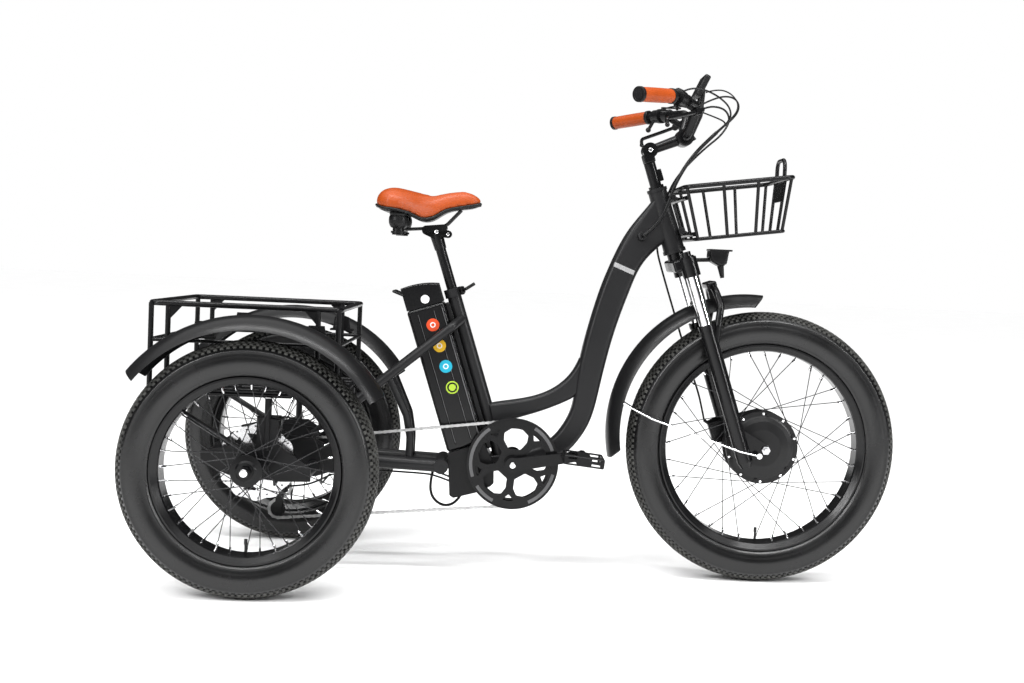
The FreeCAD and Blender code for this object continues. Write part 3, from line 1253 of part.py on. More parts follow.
def base_section(x, low, half):
    return Part.makePolygon([V(x, -half * 0.80, low - 7), V(x, -half * 0.97, low - 0.3), V(x, half * 0.97,
                                                                                           low - 0.3),
                             V(x, half * 0.80, low - 7), V(x, -half * 0.80, low - 7)])


base = Part.makeLoft([base_section(x, low, half) for x, low, high, half in SADDLE], True, False)
boots = []
for side in (-1, 1):
    boots.append(rod(V(291, side * 60, 831), V(291, side * 60, 836), 15))
    boots.append(rod(V(291, side * 60, 835), V(291, side * 60, 840), 18))
    boots.append(rod(V(291, side * 60, 839), V(291, side * 60, 849), 14))
    outline = [(14, 847), (18, 848.5), (21.5, 853), (23.5, 859), (24.2, 866), (23.6, 873), (21.8, 878),
               (23, 882), (22, 886), (18, 889)]
    ring = [V(291 + r, side * 60, z) for r, z in outline] + [V(291, side * 60, 889), V(291, side * 60, 847)]
    bulb = Part.Face(Part.makePolygon(ring + [ring[0]])).revolve(V(291, side * 60, 0), V(0, 0, 1), 360)
    boots.append(bulb)
cross = rod(V(300, -60, 844), V(300, 60, 844), 5.5)
saddle_base = fuse([base, cross] + boots + rails)
saddle_base = cut(saddle_base, [saddle_pad])
save("saddle_base", largest(saddle_base))


# ---------------------------------------------------------------- cables
def cable(points, r):
    """Round cable; every arc takes a fixed share of the shorter neighbouring run."""
    edges = []
    start = points[0]
    radii = []
    for i in range(1, len(points) - 1):
        a = (points[i - 1] - points[i]).normalize()
        b = (points[i + 1] - points[i]).normalize()
        half = a.getAngle(b) / 2
        reach = min((points[i - 1] - points[i]).Length, (points[i + 1] - points[i]).Length)
        t = 0.45 * reach
        radius = t * math.tan(half)
        radii.append(round(radius, 1))
        p = points[i] + a * t
        q = points[i] + b * t
        middle = points[i] + (a + b).normalize() * (radius / math.sin(half) - radius)
        edges.append(Part.LineSegment(start, p).toShape())
        edges.append(Part.Arc(p, middle, q).toShape())
        start = q
    edges.append(Part.LineSegment(start, points[-1]).toShape())
    path = Part.Wire(edges)
    profile = Part.Wire([Part.makeCircle(r, points[0], points[1] - points[0])])
    solid = path.makePipeShell([profile], True, False)
    print("cable r %.1f length %.0f volume ratio %.3f smallest bend %.1f" % (
        r, path.Length, solid.Volume / (math.pi * r * r * path.Length), min(radii)))
    return solid


LOOM_TOP = V(1060, -40, 1120)
main_loom = cable([
    LOOM_TOP, V(1036, -40, 1096), V(1010, -40, 1067), V(984, -42, 1030), V(961, -46, 985), V(948, -47, 940),
    V(931, -46, 900), V(908, -42, 872), V(890, -33, 857.5),
], 4.6)
feeders = [
    cable([
        V(995, -150, 1168), V(1040, -120, 1196), V(1088, -90, 1204), V(1112, -62, 1184), V(1098, -46, 1152),
        LOOM_TOP + V(-5, 0, -3.5),
    ], 2.2),
    cable([
        V(948, -188, 1194), V(968, -184, 1206), V(1006, -168, 1206), V(1046, -140, 1194), V(1080, -106, 1174),
        V(1088, -72, 1146), LOOM_TOP + V(-6, -1.5, -7.5),
    ], 2.2),
    cable([
        V(1034, 0, 1222), V(1062, -4, 1232), V(1096, -14, 1222), V(1116, -26, 1192), V(1100, -34, 1158),
        LOOM_TOP + V(-4, 2, -1),
    ], 1.8),
    cable([
        V(948, 187, 1194), V(968, 184, 1206), V(1006, 168, 1206), V(1046, 138, 1190), V(1078, 92, 1172),
        V(1092, 36, 1156), V(1084, -16, 1140), LOOM_TOP + V(-7, 2, -6),
    ], 2.0),
]
brake_hose = cable([
    V(1000, 150, 1170), V(1050, 130, 1204), V(1098, 98, 1200), V(1112, 66, 1166), V(1088, 44, 1124),
    V(1046, 40, 1088),
    V(1006, 44, 1046), V(972, 50, 1003), V(952, 54, 950), V(944, 62, 895), F(-106, 70, 560), F(-108, 74, 490),
    F(-106, 74, 220),
    F(-104, 70, 165), F(-108, 58, 125), F(-112, 46, 97),
], 2.6)
main_loom = largest(cut(fuse([main_loom] + feeders), [bar_controls, front_frame, display]))
brake_hose = largest(cut(brake_hose, [bar_controls, front_caliper, fork_lowers]))
save("steering_cables", Part.makeCompound([main_loom, brake_hose]))

shift_housing = cable([
    V(437, -29, 230), V(402, -31, 243), V(370, -31, 247), V(190, -31, 252), V(150, -44, 238),
    V(122, -72, 226), V(92, -79, 215),
    V(57, -78, 212),
], 2.4)
rear_hose = cable([
    V(437, 29, 230), V(402, 31, 243), V(370, 31, 247), V(190, 31, 250), V(150, 12, 240), V(142, -30, 234),
    V(142, -180, 234),
    V(150, -214, 262), V(148, -223, 310), V(128, -224, 360), V(92, -222, 392), V(65, -222, 398.5),
], 2.4)
motor_lead = cable([
    V(470, 0, 196), V(458, 0, 172), V(428, -2, 160), V(398, -4, 178), V(388, -4, 214), V(396, -2, 251),
], 3.4)
save("frame_cables", Part.makeCompound([
    largest(shift_housing.cut(derailleur_body)),
    largest(rear_hose.cut(rear_caliper)),
    largest(motor_lead.cut(battery_cradle).cut(rear_stays)),
]))
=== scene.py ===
"""Looks of an electric adult tricycle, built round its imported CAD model. Metres; +X forward, +Y left, +Z up."""
import math

import bpy
from mathutils import Matrix, Vector
from mathutils.bvhtree import BVHTree


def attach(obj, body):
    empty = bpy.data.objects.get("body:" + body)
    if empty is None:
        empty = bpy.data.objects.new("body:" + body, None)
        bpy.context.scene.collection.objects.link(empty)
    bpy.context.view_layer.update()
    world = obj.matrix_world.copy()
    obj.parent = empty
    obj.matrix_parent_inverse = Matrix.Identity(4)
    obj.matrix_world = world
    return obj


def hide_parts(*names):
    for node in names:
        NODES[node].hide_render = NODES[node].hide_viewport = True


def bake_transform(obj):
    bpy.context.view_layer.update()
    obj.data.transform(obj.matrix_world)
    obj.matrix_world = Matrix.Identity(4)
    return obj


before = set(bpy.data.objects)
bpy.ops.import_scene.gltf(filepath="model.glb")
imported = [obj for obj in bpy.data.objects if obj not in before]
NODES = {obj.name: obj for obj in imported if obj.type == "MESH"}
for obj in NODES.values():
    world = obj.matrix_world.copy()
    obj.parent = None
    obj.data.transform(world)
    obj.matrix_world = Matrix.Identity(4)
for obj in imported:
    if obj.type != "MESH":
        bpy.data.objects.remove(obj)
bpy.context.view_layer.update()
ORIGIN_X = 0.6335   # rear axle to the middle of the object

WHEELBASE = 1.216
FRONT_R = 0.341
REAR_R = 0.290
FRONT_FLANGE = 0.260
REAR_FLANGE = 0.2095
WHEEL_Y = 0.320
BB = (0.592, 0.284)


def at(x, y, z):
    """Point given from the rear axle, moved to the row frame."""
    return Vector((x - ORIGIN_X, y, z))


# ------------------------------------------------------------------ materials
def shade(name, colour, rough, metal=0.0, vary=0.12, scale=18.0, grain=900.0, bump=0.02, depth=0.0004,
          rough_vary=0.08, coat=0.0, coat_rough=0.2, specular=0.5, sheen=0.0, stretch=(1, 1, 1), speck=0.0):
    """Procedural finish: drifting colour and gloss, fine grain in the bump, and optional pale specks."""
    mat = bpy.data.materials.new(name)
    mat.use_nodes = True
    tree = mat.node_tree
    nodes, links = tree.nodes, tree.links
    nodes.clear()
    out = nodes.new("ShaderNodeOutputMaterial")
    bsdf = nodes.new("ShaderNodeBsdfPrincipled")
    links.new(bsdf.outputs["BSDF"], out.inputs["Surface"])
    bsdf.inputs["Metallic"].default_value = metal
    bsdf.inputs["Specular IOR Level"].default_value = specular
    bsdf.inputs["Coat Weight"].default_value = coat
    bsdf.inputs["Coat Roughness"].default_value = coat_rough
    bsdf.inputs["Sheen Weight"].default_value = sheen
    coords = nodes.new("ShaderNodeTexCoord")
    mapping = nodes.new("ShaderNodeMapping")
    mapping.inputs["Scale"].default_value = stretch
    links.new(coords.outputs["Object"], mapping.inputs["Vector"])
    drift = nodes.new("ShaderNodeTexNoise")
    drift.inputs["Scale"].default_value = scale
    drift.inputs["Detail"].default_value = 4.0
    links.new(mapping.outputs["Vector"], drift.inputs["Vector"])
    ramp = nodes.new("ShaderNodeValToRGB")
    ramp.color_ramp.elements[0].position = 0.32
    ramp.color_ramp.elements[1].position = 0.68
    ramp.color_ramp.elements[0].color = (*[c * (1 - vary) for c in colour], 1)
    ramp.color_ramp.elements[1].color = (*[min(1, c * (1 + vary)) for c in colour], 1)
    links.new(drift.outputs["Fac"], ramp.inputs["Fac"])
    fine = nodes.new("ShaderNodeTexNoise")
    fine.inputs["Scale"].default_value = grain
    fine.inputs["Detail"].default_value = 3.0
    links.new(mapping.outputs["Vector"], fine.inputs["Vector"])
    colour_out = ramp.outputs["Color"]
    if speck > 0:
        mix = nodes.new("ShaderNodeMixRGB")
        dust = nodes.new("ShaderNodeMapRange")
        dust.inputs["From Min"].default_value = 0.58
        dust.inputs["From Max"].default_value = 0.75
        dust.inputs["To Max"].default_value = speck
        links.new(fine.outputs["Fac"], dust.inputs["Value"])
        links.new(dust.outputs["Result"], mix.inputs["Fac"])
        links.new(colour_out, mix.inputs["Color1"])
        mix.inputs["Color2"].default_value = (0.35, 0.35, 0.35, 1)
        colour_out = mix.outputs["Color"]
    links.new(colour_out, bsdf.inputs["Base Color"])
    gloss = nodes.new("ShaderNodeMapRange")
    gloss.inputs["To Min"].default_value = max(0.02, rough - rough_vary)
    gloss.inputs["To Max"].default_value = min(1.0, rough + rough_vary)
    links.new(drift.outputs["Fac"], gloss.inputs["Value"])
    links.new(gloss.outputs["Result"], bsdf.inputs["Roughness"])
    dent = nodes.new("ShaderNodeBump")
    dent.inputs["Strength"].default_value = bump
    dent.inputs["Distance"].default_value = depth
    links.new(fine.outputs["Fac"], dent.inputs["Height"])
    links.new(dent.outputs["Normal"], bsdf.inputs["Normal"])
    return mat


BLACK = (0.0035, 0.0035, 0.0038)
M = {
    "tyre": shade("tyre_rubber", (0.0035, 0.0035, 0.0037), 0.27, vary=0.3, scale=9, grain=1400, bump=0.2,
                  rough_vary=0.07,
                  specular=0.36, speck=0.012),
    "tread": shade("tread_rubber", (0.026, 0.026, 0.024), 0.5, vary=0.5, scale=40, grain=1600, bump=0.35,
                   speck=0.14,
                   specular=0.3),
    "rim": shade("rim_paint", (0.004, 0.004, 0.0043), 0.20, vary=0.15, bump=0.05, specular=0.22),
    "spoke": shade("spoke_steel", (0.016, 0.016, 0.017), 0.28, metal=0.3, vary=0.2, scale=60, specular=0.3),
    "motor": shade("motor_paint", (0.006, 0.006, 0.0063), 0.30, vary=0.15, bump=0.12, specular=0.2),
    "rotor": shade("disc_steel", (0.62, 0.62, 0.63), 0.27, metal=1.0, vary=0.12, scale=70, grain=2500,
                   bump=0.15),
    "steel": shade("plain_steel", (0.60, 0.60, 0.61), 0.28, metal=1.0, vary=0.12, scale=60, bump=0.08),
    "bright": shade("bright_steel", (0.86, 0.86, 0.87), 0.20, metal=1.0, vary=0.08, scale=60, bump=0.05),
    "cog": shade("cog_steel", (0.16, 0.16, 0.165), 0.34, metal=0.9, vary=0.2, scale=60, bump=0.1),
    "frame": shade("frame_paint", (0.0085, 0.0085, 0.009), 0.34, vary=0.10, scale=6, grain=1800, bump=0.10,
                   specular=0.17),
    "fork": shade("fork_paint", BLACK, 0.20, vary=0.12, scale=8, bump=0.05, specular=0.2),
    "chrome": shade("polished_chrome", (0.86, 0.86, 0.87), 0.08, metal=1.0, vary=0.04, bump=0.02,
                    rough_vary=0.03),
    "black": shade("black_metal", BLACK, 0.24, vary=0.15, scale=12, bump=0.08, specular=0.17),
    "fender": shade("fender_paint", (0.0055, 0.0055, 0.0058), 0.30, vary=0.10, scale=5, bump=0.06,
                    specular=0.18),
    "plastic": shade("black_plastic", (0.0045, 0.0045, 0.0048), 0.34, vary=0.15, scale=20, grain=1500,
                     bump=0.25,
                     specular=0.16),
    "rubber": shade("cable_rubber", (0.0045, 0.0045, 0.0048), 0.30, vary=0.2, scale=40, bump=0.1,
                    specular=0.18),
    "battery": shade("battery_shell", (0.003, 0.003, 0.0033), 0.13, vary=0.12, scale=8, bump=0.03,
                     specular=0.22),
    # grey of the battery's metal rail, also used for painted highlights along its grooves
    "rail_and_groove_highlight": shade("rail_and_groove_highlight_grey", (0.16, 0.16, 0.165), 0.35, metal=0.6, vary=0.1),
    "leather": shade("orange_leather", (0.24, 0.038, 0.0045), 0.36, vary=0.08, scale=14, grain=1300,
                     bump=0.35,
                     depth=0.0005, specular=0.22),
    "thread": shade("orange_thread", (0.09, 0.014, 0.004), 0.6, vary=0.2, scale=200, bump=0.3, specular=0.15),
    "piping": shade("saddle_edge", (0.004, 0.004, 0.0043), 0.36, vary=0.15, scale=30, grain=1300, bump=0.3,
                    specular=0.16),
    "chain": shade("chain_steel", (0.42, 0.42, 0.42), 0.42, metal=1.0, vary=0.2, scale=90, bump=0.1),
    "guard": shade("guard_paint", BLACK, 0.26, vary=0.12, scale=15, bump=0.06, specular=0.17),
    "lens": shade("lamp_lens", (0.70, 0.72, 0.74), 0.08, vary=0.05, bump=0.0, coat=1.0, coat_rough=0.03),
    "band": shade("grey_band", (0.19, 0.19, 0.193), 0.45, vary=0.06, bump=0.05),
    # grey of the painted highlight arcs on the chain guard
    "guard_highlight": shade("grey_guard_highlight", (0.055, 0.055, 0.057), 0.45, vary=0.08, bump=0.05),
    "disc_orange": shade("disc_orange", (0.42, 0.046, 0.013), 0.35, vary=0.05, specular=0.2),
    "disc_yellow": shade("disc_yellow", (0.46, 0.27, 0.010), 0.35, vary=0.05, specular=0.2),
    "disc_cyan": shade("disc_cyan", (0.010, 0.24, 0.34), 0.35, vary=0.05, specular=0.2),
    "disc_lime": shade("disc_lime", (0.26, 0.38, 0.030), 0.35, vary=0.05, specular=0.2),
    "disc_white": shade("disc_white", (0.52, 0.52, 0.52), 0.4, vary=0.04, specular=0.2),
}
FINISHED_NODES = {
    "tyre": "front_tyre right_tyre left_tyre",
    "rim": "front_rim right_rim left_rim",
    "spoke": "front_spokes right_spokes left_spokes",
    "motor": "hub_motor",
    "rotor": "front_rotor rear_rotor",
    "black": ("right_axle left_axle front_caliper stem_quill stem_arm handlebar brake_lever_right "
              "brake_lever_left rear_basket front_basket crank_arms derailleur_body derailleur_cage "
              "rear_caliper seat_lever seatpost"),
    "cog": "cassette",
    "fork": "fork_crown fork_lowers",
    "chrome": "stanchions",
    "steel": "front_axle",
    "fender": "front_fender rear_fender_right rear_fender_left",
    "bright": "fender_stays",
    "plastic": ("headlight display bar_controls shift_lever throttle_lever battery_handle battery_cradle "
                "pedal_right pedal_left saddle_base"),
    "leather": "grips saddle_pad",
    "rubber": "steering_cables frame_cables",
    "frame": "front_frame lower_frame rear_stays axle_carrier",
    "battery": "battery_case battery_caps",
    "disc_white": "battery_lock",
    "guard": "chainring",
    "chain": "chain",
}
for finish, node_names in FINISHED_NODES.items():
    for node_name in node_names.split():
        piece = NODES[node_name]
        piece.data.materials.clear()
        piece.data.materials.append(M[finish])


# ------------------------------------------------------------------ mesh helpers
def mesh_piece(name, verts, faces, finish, body, smooth=True, replaces=()):
    """New mesh object with its finish, riding a body if one is given; otherwise it is left loose or made to ride
    later.
    """
    mesh = bpy.data.meshes.new(name)
    mesh.from_pydata([tuple(v) for v in verts], [], faces)
    mesh.validate()
    mesh.update()
    if smooth:
        mesh.polygons.foreach_set("use_smooth", [True] * len(mesh.polygons))
    piece = bpy.data.objects.new(name, mesh)
    bpy.context.scene.collection.objects.link(piece)
    mesh.materials.append(M[finish])
    if body:
        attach(piece, body)
    if replaces:
        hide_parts(*replaces)
    return piece


def turned(verts, faces, profile, centre, steps):
    """Adds a closed (radius, y) outline turned about the y axis through centre."""
    base = len(verts)
    count = len(profile)
    for i in range(steps):
        a = 2 * math.pi * i / steps
        for r, y in profile:
            verts.append(centre + Vector((r * math.cos(a), y, r * math.sin(a))))
    for i in range(steps):
        j = (i + 1) % steps
        for k in range(count):
            m = (k + 1) % count
            faces.append((base + i * count + k, base + i * count + m, base + j * count + m,
                          base + j * count + k))


# ------------------------------------------------------------------ tyres with tread blocks
TREAD_FLOOR = 0.0048    # the tread's blocks stand on a face this far inside the outer radius
TREAD_HALF = 0.0395     # half the width that the blocks cover
TREAD_DROP = 0.0117     # how far the tread falls away at that half width
TREAD_POWER = 2.1       # how fast it falls away
TREAD_PITCH = 0.0148    # from one block to the next round the tyre
CROWN_BLOCK = (0.0092, 0.0095, 0.0042)
# Rows on each side: sideways place, block length, width, height, skew, and half a pitch ahead or not.
TREAD_ROWS = ((0.0098, 0.0098, 0.0078, 0.0042, 0.35, True), (0.0190, 0.0098, 0.0078, 0.0041, -0.35, False),
              (0.0278, 0.0096, 0.0074, 0.0040, 0.3, True), (0.0362, 0.0086, 0.0074, 0.0038, 0.0, False))


def tyre_piece(name, node, body, centre, outer, flange):
    """Tyre casing turned about the axle, and its tread of raised blocks."""
    side = [
        (flange + 0.0005, 0.0357), (flange + 0.004, 0.0398), (flange + 0.006, 0.0410),
        (flange + 0.0072, 0.0428),
        (flange + 0.0088, 0.0430), (flange + 0.010, 0.0428), (flange + 0.018, 0.0463),
        (flange + 0.028, 0.0486),
        (flange + 0.036, 0.0489), (flange + 0.046, 0.0478), (flange + 0.0545, 0.0452),
        (flange + 0.056, 0.0458),
        (flange + 0.058, 0.0452), (flange + 0.060, 0.0432), (outer - 0.0165, 0.0395),
        (outer - 0.0125, 0.0330),
        (outer - 0.0085, 0.0235), (outer - 0.0058, 0.0120),
    ]
    crown = [(outer - TREAD_FLOOR, 0.0)]
    half = side + crown + [(r, -y) for r, y in reversed(side)]
    inside = [(flange - 0.006, -0.030), (flange + 0.030, -0.040), (outer - 0.020, -0.030),
              (outer - 0.013, 0.0),
              (outer - 0.020, 0.030), (flange + 0.030, 0.040), (flange - 0.006, 0.030)]
    verts, faces = [], []
    turned(verts, faces, half + inside, centre, 144)
    mesh_piece(name, verts, faces, "tyre", body, replaces=(node,))

    def crown_point(y, lift):
        """Radius of the tread surface at sideways place y, and its outward direction."""
        t = abs(y) / TREAD_HALF
        drop = TREAD_DROP * t ** TREAD_POWER
        slope = TREAD_DROP * TREAD_POWER * max(t,
                                               1e-4) ** (TREAD_POWER - 1) / TREAD_HALF * (1 if y > 0 else -1)
        r = outer - TREAD_FLOOR - drop
        n = Vector((slope, 1.0)).normalized()
        return r + n.y * lift, y + n.x * lift

    verts, faces = [], []

    def block_at(angle, y, length, width, height, skew=0.0):
        """One tapered rubber block standing on the tread."""
        base = len(verts)
        for lift, share in ((-0.0010, 1.0), (height * 0.7, 0.90), (height, 0.72)):
            for da, dy in ((-1, -1), (1, -1), (1, 1), (-1, 1)):
                yy = y + dy * width / 2 * share
                r, yy = crown_point(yy, lift)
                a = angle + (da * length / 2 * share + skew * dy * width / 2) / outer
                verts.append(centre + Vector((r * math.cos(a), yy, r * math.sin(a))))
        for ring in range(2):
            for k in range(4):
                m = (k + 1) % 4
                a0 = base + ring * 4
                faces.append((a0 + k, a0 + m, a0 + 4 + m, a0 + 4 + k))
        faces.append((base + 8, base + 9, base + 10, base + 11))
        faces.append((base + 3, base + 2, base + 1, base))

    count = int(round(2 * math.pi * outer / TREAD_PITCH))
    shift = math.pi / count
    for i in range(count):
        a = 2 * math.pi * i / count
        block_at(a, 0.0, *CROWN_BLOCK)
        for s in (1, -1):
            for y, length, width, height, skew, ahead in TREAD_ROWS:
                block_at(a + shift if ahead else a, s * y, length, width, height, skew=skew * s)
    mesh_piece(name + "_tread", verts, faces, "tread", body, smooth=False)


tyre_piece("tyre_front", "front_tyre", "front_wheel", at(WHEELBASE, 0, FRONT_R), FRONT_R, FRONT_FLANGE)
tyre_piece("tyre_right", "right_tyre", "right_wheel", at(0, -WHEEL_Y, REAR_R), REAR_R, REAR_FLANGE)
tyre_piece("tyre_left", "left_tyre", "left_wheel", at(0, WHEEL_Y, REAR_R), REAR_R, REAR_FLANGE)


# ------------------------------------------------------------------ chain of separate links
RING_PITCH, COG_PITCH, JOCKEY_PITCH = 0.1052, 0.0245, 0.0225
CHAIN_Y = -0.062
LINK_PITCH = 0.0127
# Turning points of the chain: x and z from the rear axle, pitch radius, and which way round it runs.
RUN = [(BB[0], BB[1], RING_PITCH, 1), (0.0, REAR_R, COG_PITCH, 1), (0.034, 0.205, JOCKEY_PITCH, -1),
       (0.027, 0.153, JOCKEY_PITCH, 1)]


def chain_path():
    """Pitch line as (kind, data, length) pieces, starting where the chain leaves the chainring's top."""
    ends = []
    for i, (x1, z1, ra, sa) in enumerate(RUN):
        x2, z2, rb, sb = RUN[(i + 1) % 4]
        gap = math.hypot(x2 - x1, z2 - z1)
        theta = math.atan2(z2 - z1, x2 - x1) - math.acos((sa * ra - sb * rb) / gap)
        n = Vector((math.cos(theta), math.sin(theta)))
        ends.append((Vector((x1, z1)) + n * sa * ra, Vector((x2, z2)) + n * sb * rb))
    pieces = []
    for i in range(4):
        leave, arrive = ends[i]
        pieces.append(("line", (leave, arrive), (arrive - leave).length))
        x, z, r, s = RUN[(i + 1) % 4]
        centre = Vector((x, z))
        start, stop = arrive - centre, ends[(i + 1) % 4][0] - centre
        a0, a1 = math.atan2(start.y, start.x), math.atan2(stop.y, stop.x)
        while s > 0 and a1 < a0:
            a1 += 2 * math.pi
        while s < 0 and a1 > a0:
            a1 -= 2 * math.pi
        pieces.append(("arc", (centre, r, a0, a1), abs(a1 - a0) * r))
    return pieces


PIECES = chain_path()
CHAIN_LENGTH = sum(p[2] for p in PIECES)


def chain_point(distance):
    """Point of the pitch line at a distance along it, as (x, z) from the rear axle."""
    distance %= CHAIN_LENGTH
    for kind, data, length in PIECES:
        if distance <= length:
            share = distance / length
            if kind == "line":
                return data[0].lerp(data[1], share)
            centre, r, a0, a1 = data
            a = a0 + (a1 - a0) * share
            return centre + Vector((math.cos(a), math.sin(a))) * r
        distance -= length
    return chain_point(0)


def link_outline(half, r_end, r_waist, steps=6):
    """Figure-eight outline of one side plate along the local x axis."""
    points = []
    for s in (1, -1):
        for k in range(steps + 1):
            a = -math.pi / 2 + math.pi * k / steps
            points.append((s * (half + r_end * math.cos(a)), s * r_end * math.sin(a)))
        points.append((0.0, s * r_waist))
    return points


def prism(verts, faces, outline, y0, y1, place):
    """Flat outline (along, up) given thickness in y, put in place by place(along, up, y)."""
    base = len(verts)
    n = len(outline)
    for y in (y0, y1):
        for a, b in outline:
            verts.append(place(a, b, y))
    faces.append(tuple(base + k for k in range(n)))
    faces.append(tuple(base + n + k for k in reversed(range(n))))
    for k in range(n):
        m = (k + 1) % n
        faces.append((base + k, base + n + k, base + n + m, base + m))


def chain_links(first, last, total):
    """Side plates, pins and rollers of the links from first up to last, out of total in the whole chain."""
    verts, faces = [], []
    step = CHAIN_LENGTH / total
    for i in range(first, last):
        a, b = chain_point(i * step), chain_point((i + 1) * step)
        mid, along = (a + b) / 2, (b - a).normalized()
        across = Vector((-along.y, along.x))

        def place(u, v, y):
            p = mid + along * u + across * v
            return at(p.x, CHAIN_Y + y, p.y)

        outline = link_outline((b - a).length / 2, 0.0036, 0.0027)
        y = 0.00185 if i % 2 == 0 else 0.00275   # inner and outer plates by turns
        for s in (1, -1):
            prism(verts, faces, outline, s * (y - 0.0005), s * (y + 0.0004), place)

        def place_pin(u, v, y):
            return at(a.x + u, CHAIN_Y + y, a.y + v)

        ring = [(math.cos(math.pi / 5 * k), math.sin(math.pi / 5 * k)) for k in range(10)]
        prism(verts, faces, [(0.0019 * c, 0.0019 * s) for c, s in ring], -0.0034, 0.0034, place_pin)
        prism(verts, faces, [(0.0034 * c, 0.0034 * s) for c, s in ring], -0.0012, 0.0012, place_pin)
    return verts, faces


LINKS = 2 * round(CHAIN_LENGTH / LINK_PITCH / 2)
upper_length = sum(p[2] for p in PIECES[:4])
split = math.floor(upper_length / CHAIN_LENGTH * LINKS)
lower_end = math.floor(sum(p[2] for p in PIECES[:7]) / CHAIN_LENGTH * LINKS) - 2   # short of the chainring
verts, faces = chain_links(lower_end - LINKS, split, LINKS)
mesh_piece("chain_upper", verts, faces, "chain", "frame", smooth=False, replaces=("chain",))
verts, faces = chain_links(split, lower_end, LINKS)
lower_chain = mesh_piece("chain_lower", verts, faces, "chain", None, smooth=False)
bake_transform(lower_chain)


# ------------------------------------------------------------------ grips
GRIP_IN, GRIP_END = at(0.931, -0.215, 1.180), at(0.836, -0.310, 1.168)


def grip_pieces(side):
    """Grip sleeve with its end rings and a double line of stitches; side is -1 for the right."""
    a, b = GRIP_IN.copy(), GRIP_END.copy()
    a.y, b.y = -side * a.y, -side * b.y
    along = (b - a).normalized()
    start, end = a + along * 0.0125, b + along * 0.0035
    length = (end - start).length
    u = along.cross(Vector((0, 0, 1))).normalized()
    v = along.cross(u)
    rings, count = 72, 40
    verts, faces = [], []
    for i in range(rings + 1):
        t = i / rings
        x = 0.002 + (length - 0.004) * t
        r = 0.0166 + 0.0005 * math.sin(math.pi * t)
        if x < 0.009 or x > length - 0.008:
            r = 0.0160
        for k in range(count):
            a_k = 2 * math.pi * k / count
            rr = r
            if k == 0:
                rr -= 0.0006
            verts.append(start + along * x + (u * math.cos(a_k) + v * math.sin(a_k)) * rr)
    for i in range(rings):
        for k in range(count):
            m = (k + 1) % count
            faces.append((i * count + k, i * count + m, (i + 1) * count + m, (i + 1) * count + k))
    faces.append(tuple(reversed(range(count))))
    faces.append(tuple(rings * count + k for k in range(count)))
    name = "grip_right" if side < 0 else "grip_left"
    mesh_piece(name, verts, faces, "leather", "stem", replaces=("grips",) if side < 0 else ())
    verts, faces = [], []

    def ring_of(x0, x1, outer, inner):
        """Ring round the grip from x0 to x1, with softened outer edges."""
        base = len(verts)
        outline = [(x0, inner), (x0, outer - 0.0008), (x0 + 0.0008, outer), (x1 - 0.0008, outer),
                   (x1, outer - 0.0008), (x1, inner)]
        n = len(outline)
        for k in range(count):
            a_k = 2 * math.pi * k / count
            radial = u * math.cos(a_k) + v * math.sin(a_k)
            for x, r in outline:
                verts.append(start + along * x + radial * r)
        for k in range(count):
            m = (k + 1) % count
            for q in range(n):
                w = (q + 1) % n
                faces.append((base + k * n + q, base + k * n + w, base + m * n + w, base + m * n + q))

    ring_of(0, 0.009, 0.0182, 0.0115)
    ring_of(length - 0.0085, length, 0.0180, 0.0010)
    ring_of(length, length + 0.0004, 0.0130, 0.0010)
    mesh_piece(name + "_ends", verts, faces, "plastic", "stem", smooth=False)
    verts, faces = [], []
    for k in range(18):
        x = 0.014 + k * (length - 0.028) / 17
        for s in (1, -1):
            ang = 0.075 * s
            radial = u * math.cos(ang) + v * math.sin(ang)
            tangent = v * math.cos(ang) - u * math.sin(ang)
            centre = start + along * x + radial * 0.0168
            base = len(verts)
            for share, dr in ((1, 0), (0.6, 1)):
                for da, dt in ((-share, -share), (share, -share), (share, share), (-share, share)):
                    verts.append(centre + along * da * 0.0016 + tangent * dt * 0.0006 + radial * dr * 0.0005)
            for corners in ((4, 5, 6, 7), (0, 1, 5, 4), (1, 2, 6, 5), (2, 3, 7, 6), (3, 0, 4, 7),
                            (3, 2, 1, 0)):
                faces.append(tuple(base + k for k in corners))
    mesh_piece(name + "_stitches", verts, faces, "thread", "stem", smooth=False)


grip_pieces(-1)
grip_pieces(1)


# ------------------------------------------------------------------ trim on the battery and the down tube
SEAT_TILT = math.radians(18.4)
SEAT_FOOT_X = 0.5644    # where the seat tube's axis meets the height of the cranks
BATTERY_FACE = 0.0397   # outer face of the battery case, from the middle
DISC_FACE = 0.04195     # face that the round discs stand on


def seat_point(n, y, s):
    """Point given forward of the seat tube's axis and up along it."""
    return at(SEAT_FOOT_X + n * math.cos(SEAT_TILT) - s * math.sin(SEAT_TILT), y,
              BB[1] + n * math.sin(SEAT_TILT) + s * math.cos(SEAT_TILT))


def coin(name, centre, normal, r, thick, finish, body, inner=0.0):
    """Thin round disc or ring with a softened edge, standing on the surface at centre."""
    normal = normal.normalized()
    u = normal.orthogonal().normalized()
    v = normal.cross(u)
    verts, faces = [], []
    steps = 48
    outline = [(r - 0.0002, 0.0), (r, thick * 0.4), (r - thick * 0.5, thick)]
    if inner > 0:
        outline += [(inner + thick * 0.5, thick), (inner, 0.0)]
    n = len(outline)
    for k in range(steps):
        a = 2 * math.pi * k / steps
        radial = u * math.cos(a) + v * math.sin(a)
        for rr, h in outline:
            verts.append(centre + radial * rr + normal * h)
    for k in range(steps):
        m = (k + 1) % steps
        for q in range(n - 1):
            faces.append((k * n + q, m * n + q, m * n + q + 1, k * n + q + 1))
        if inner > 0:
            faces.append((k * n + n - 1, m * n + n - 1, m * n, k * n))
    if inner == 0:
        faces.append(tuple(k * n + n - 1 for k in range(steps)))
        faces.append(tuple(k * n for k in reversed(range(steps))))
    return mesh_piece(name, verts, faces, finish, body, smooth=False)


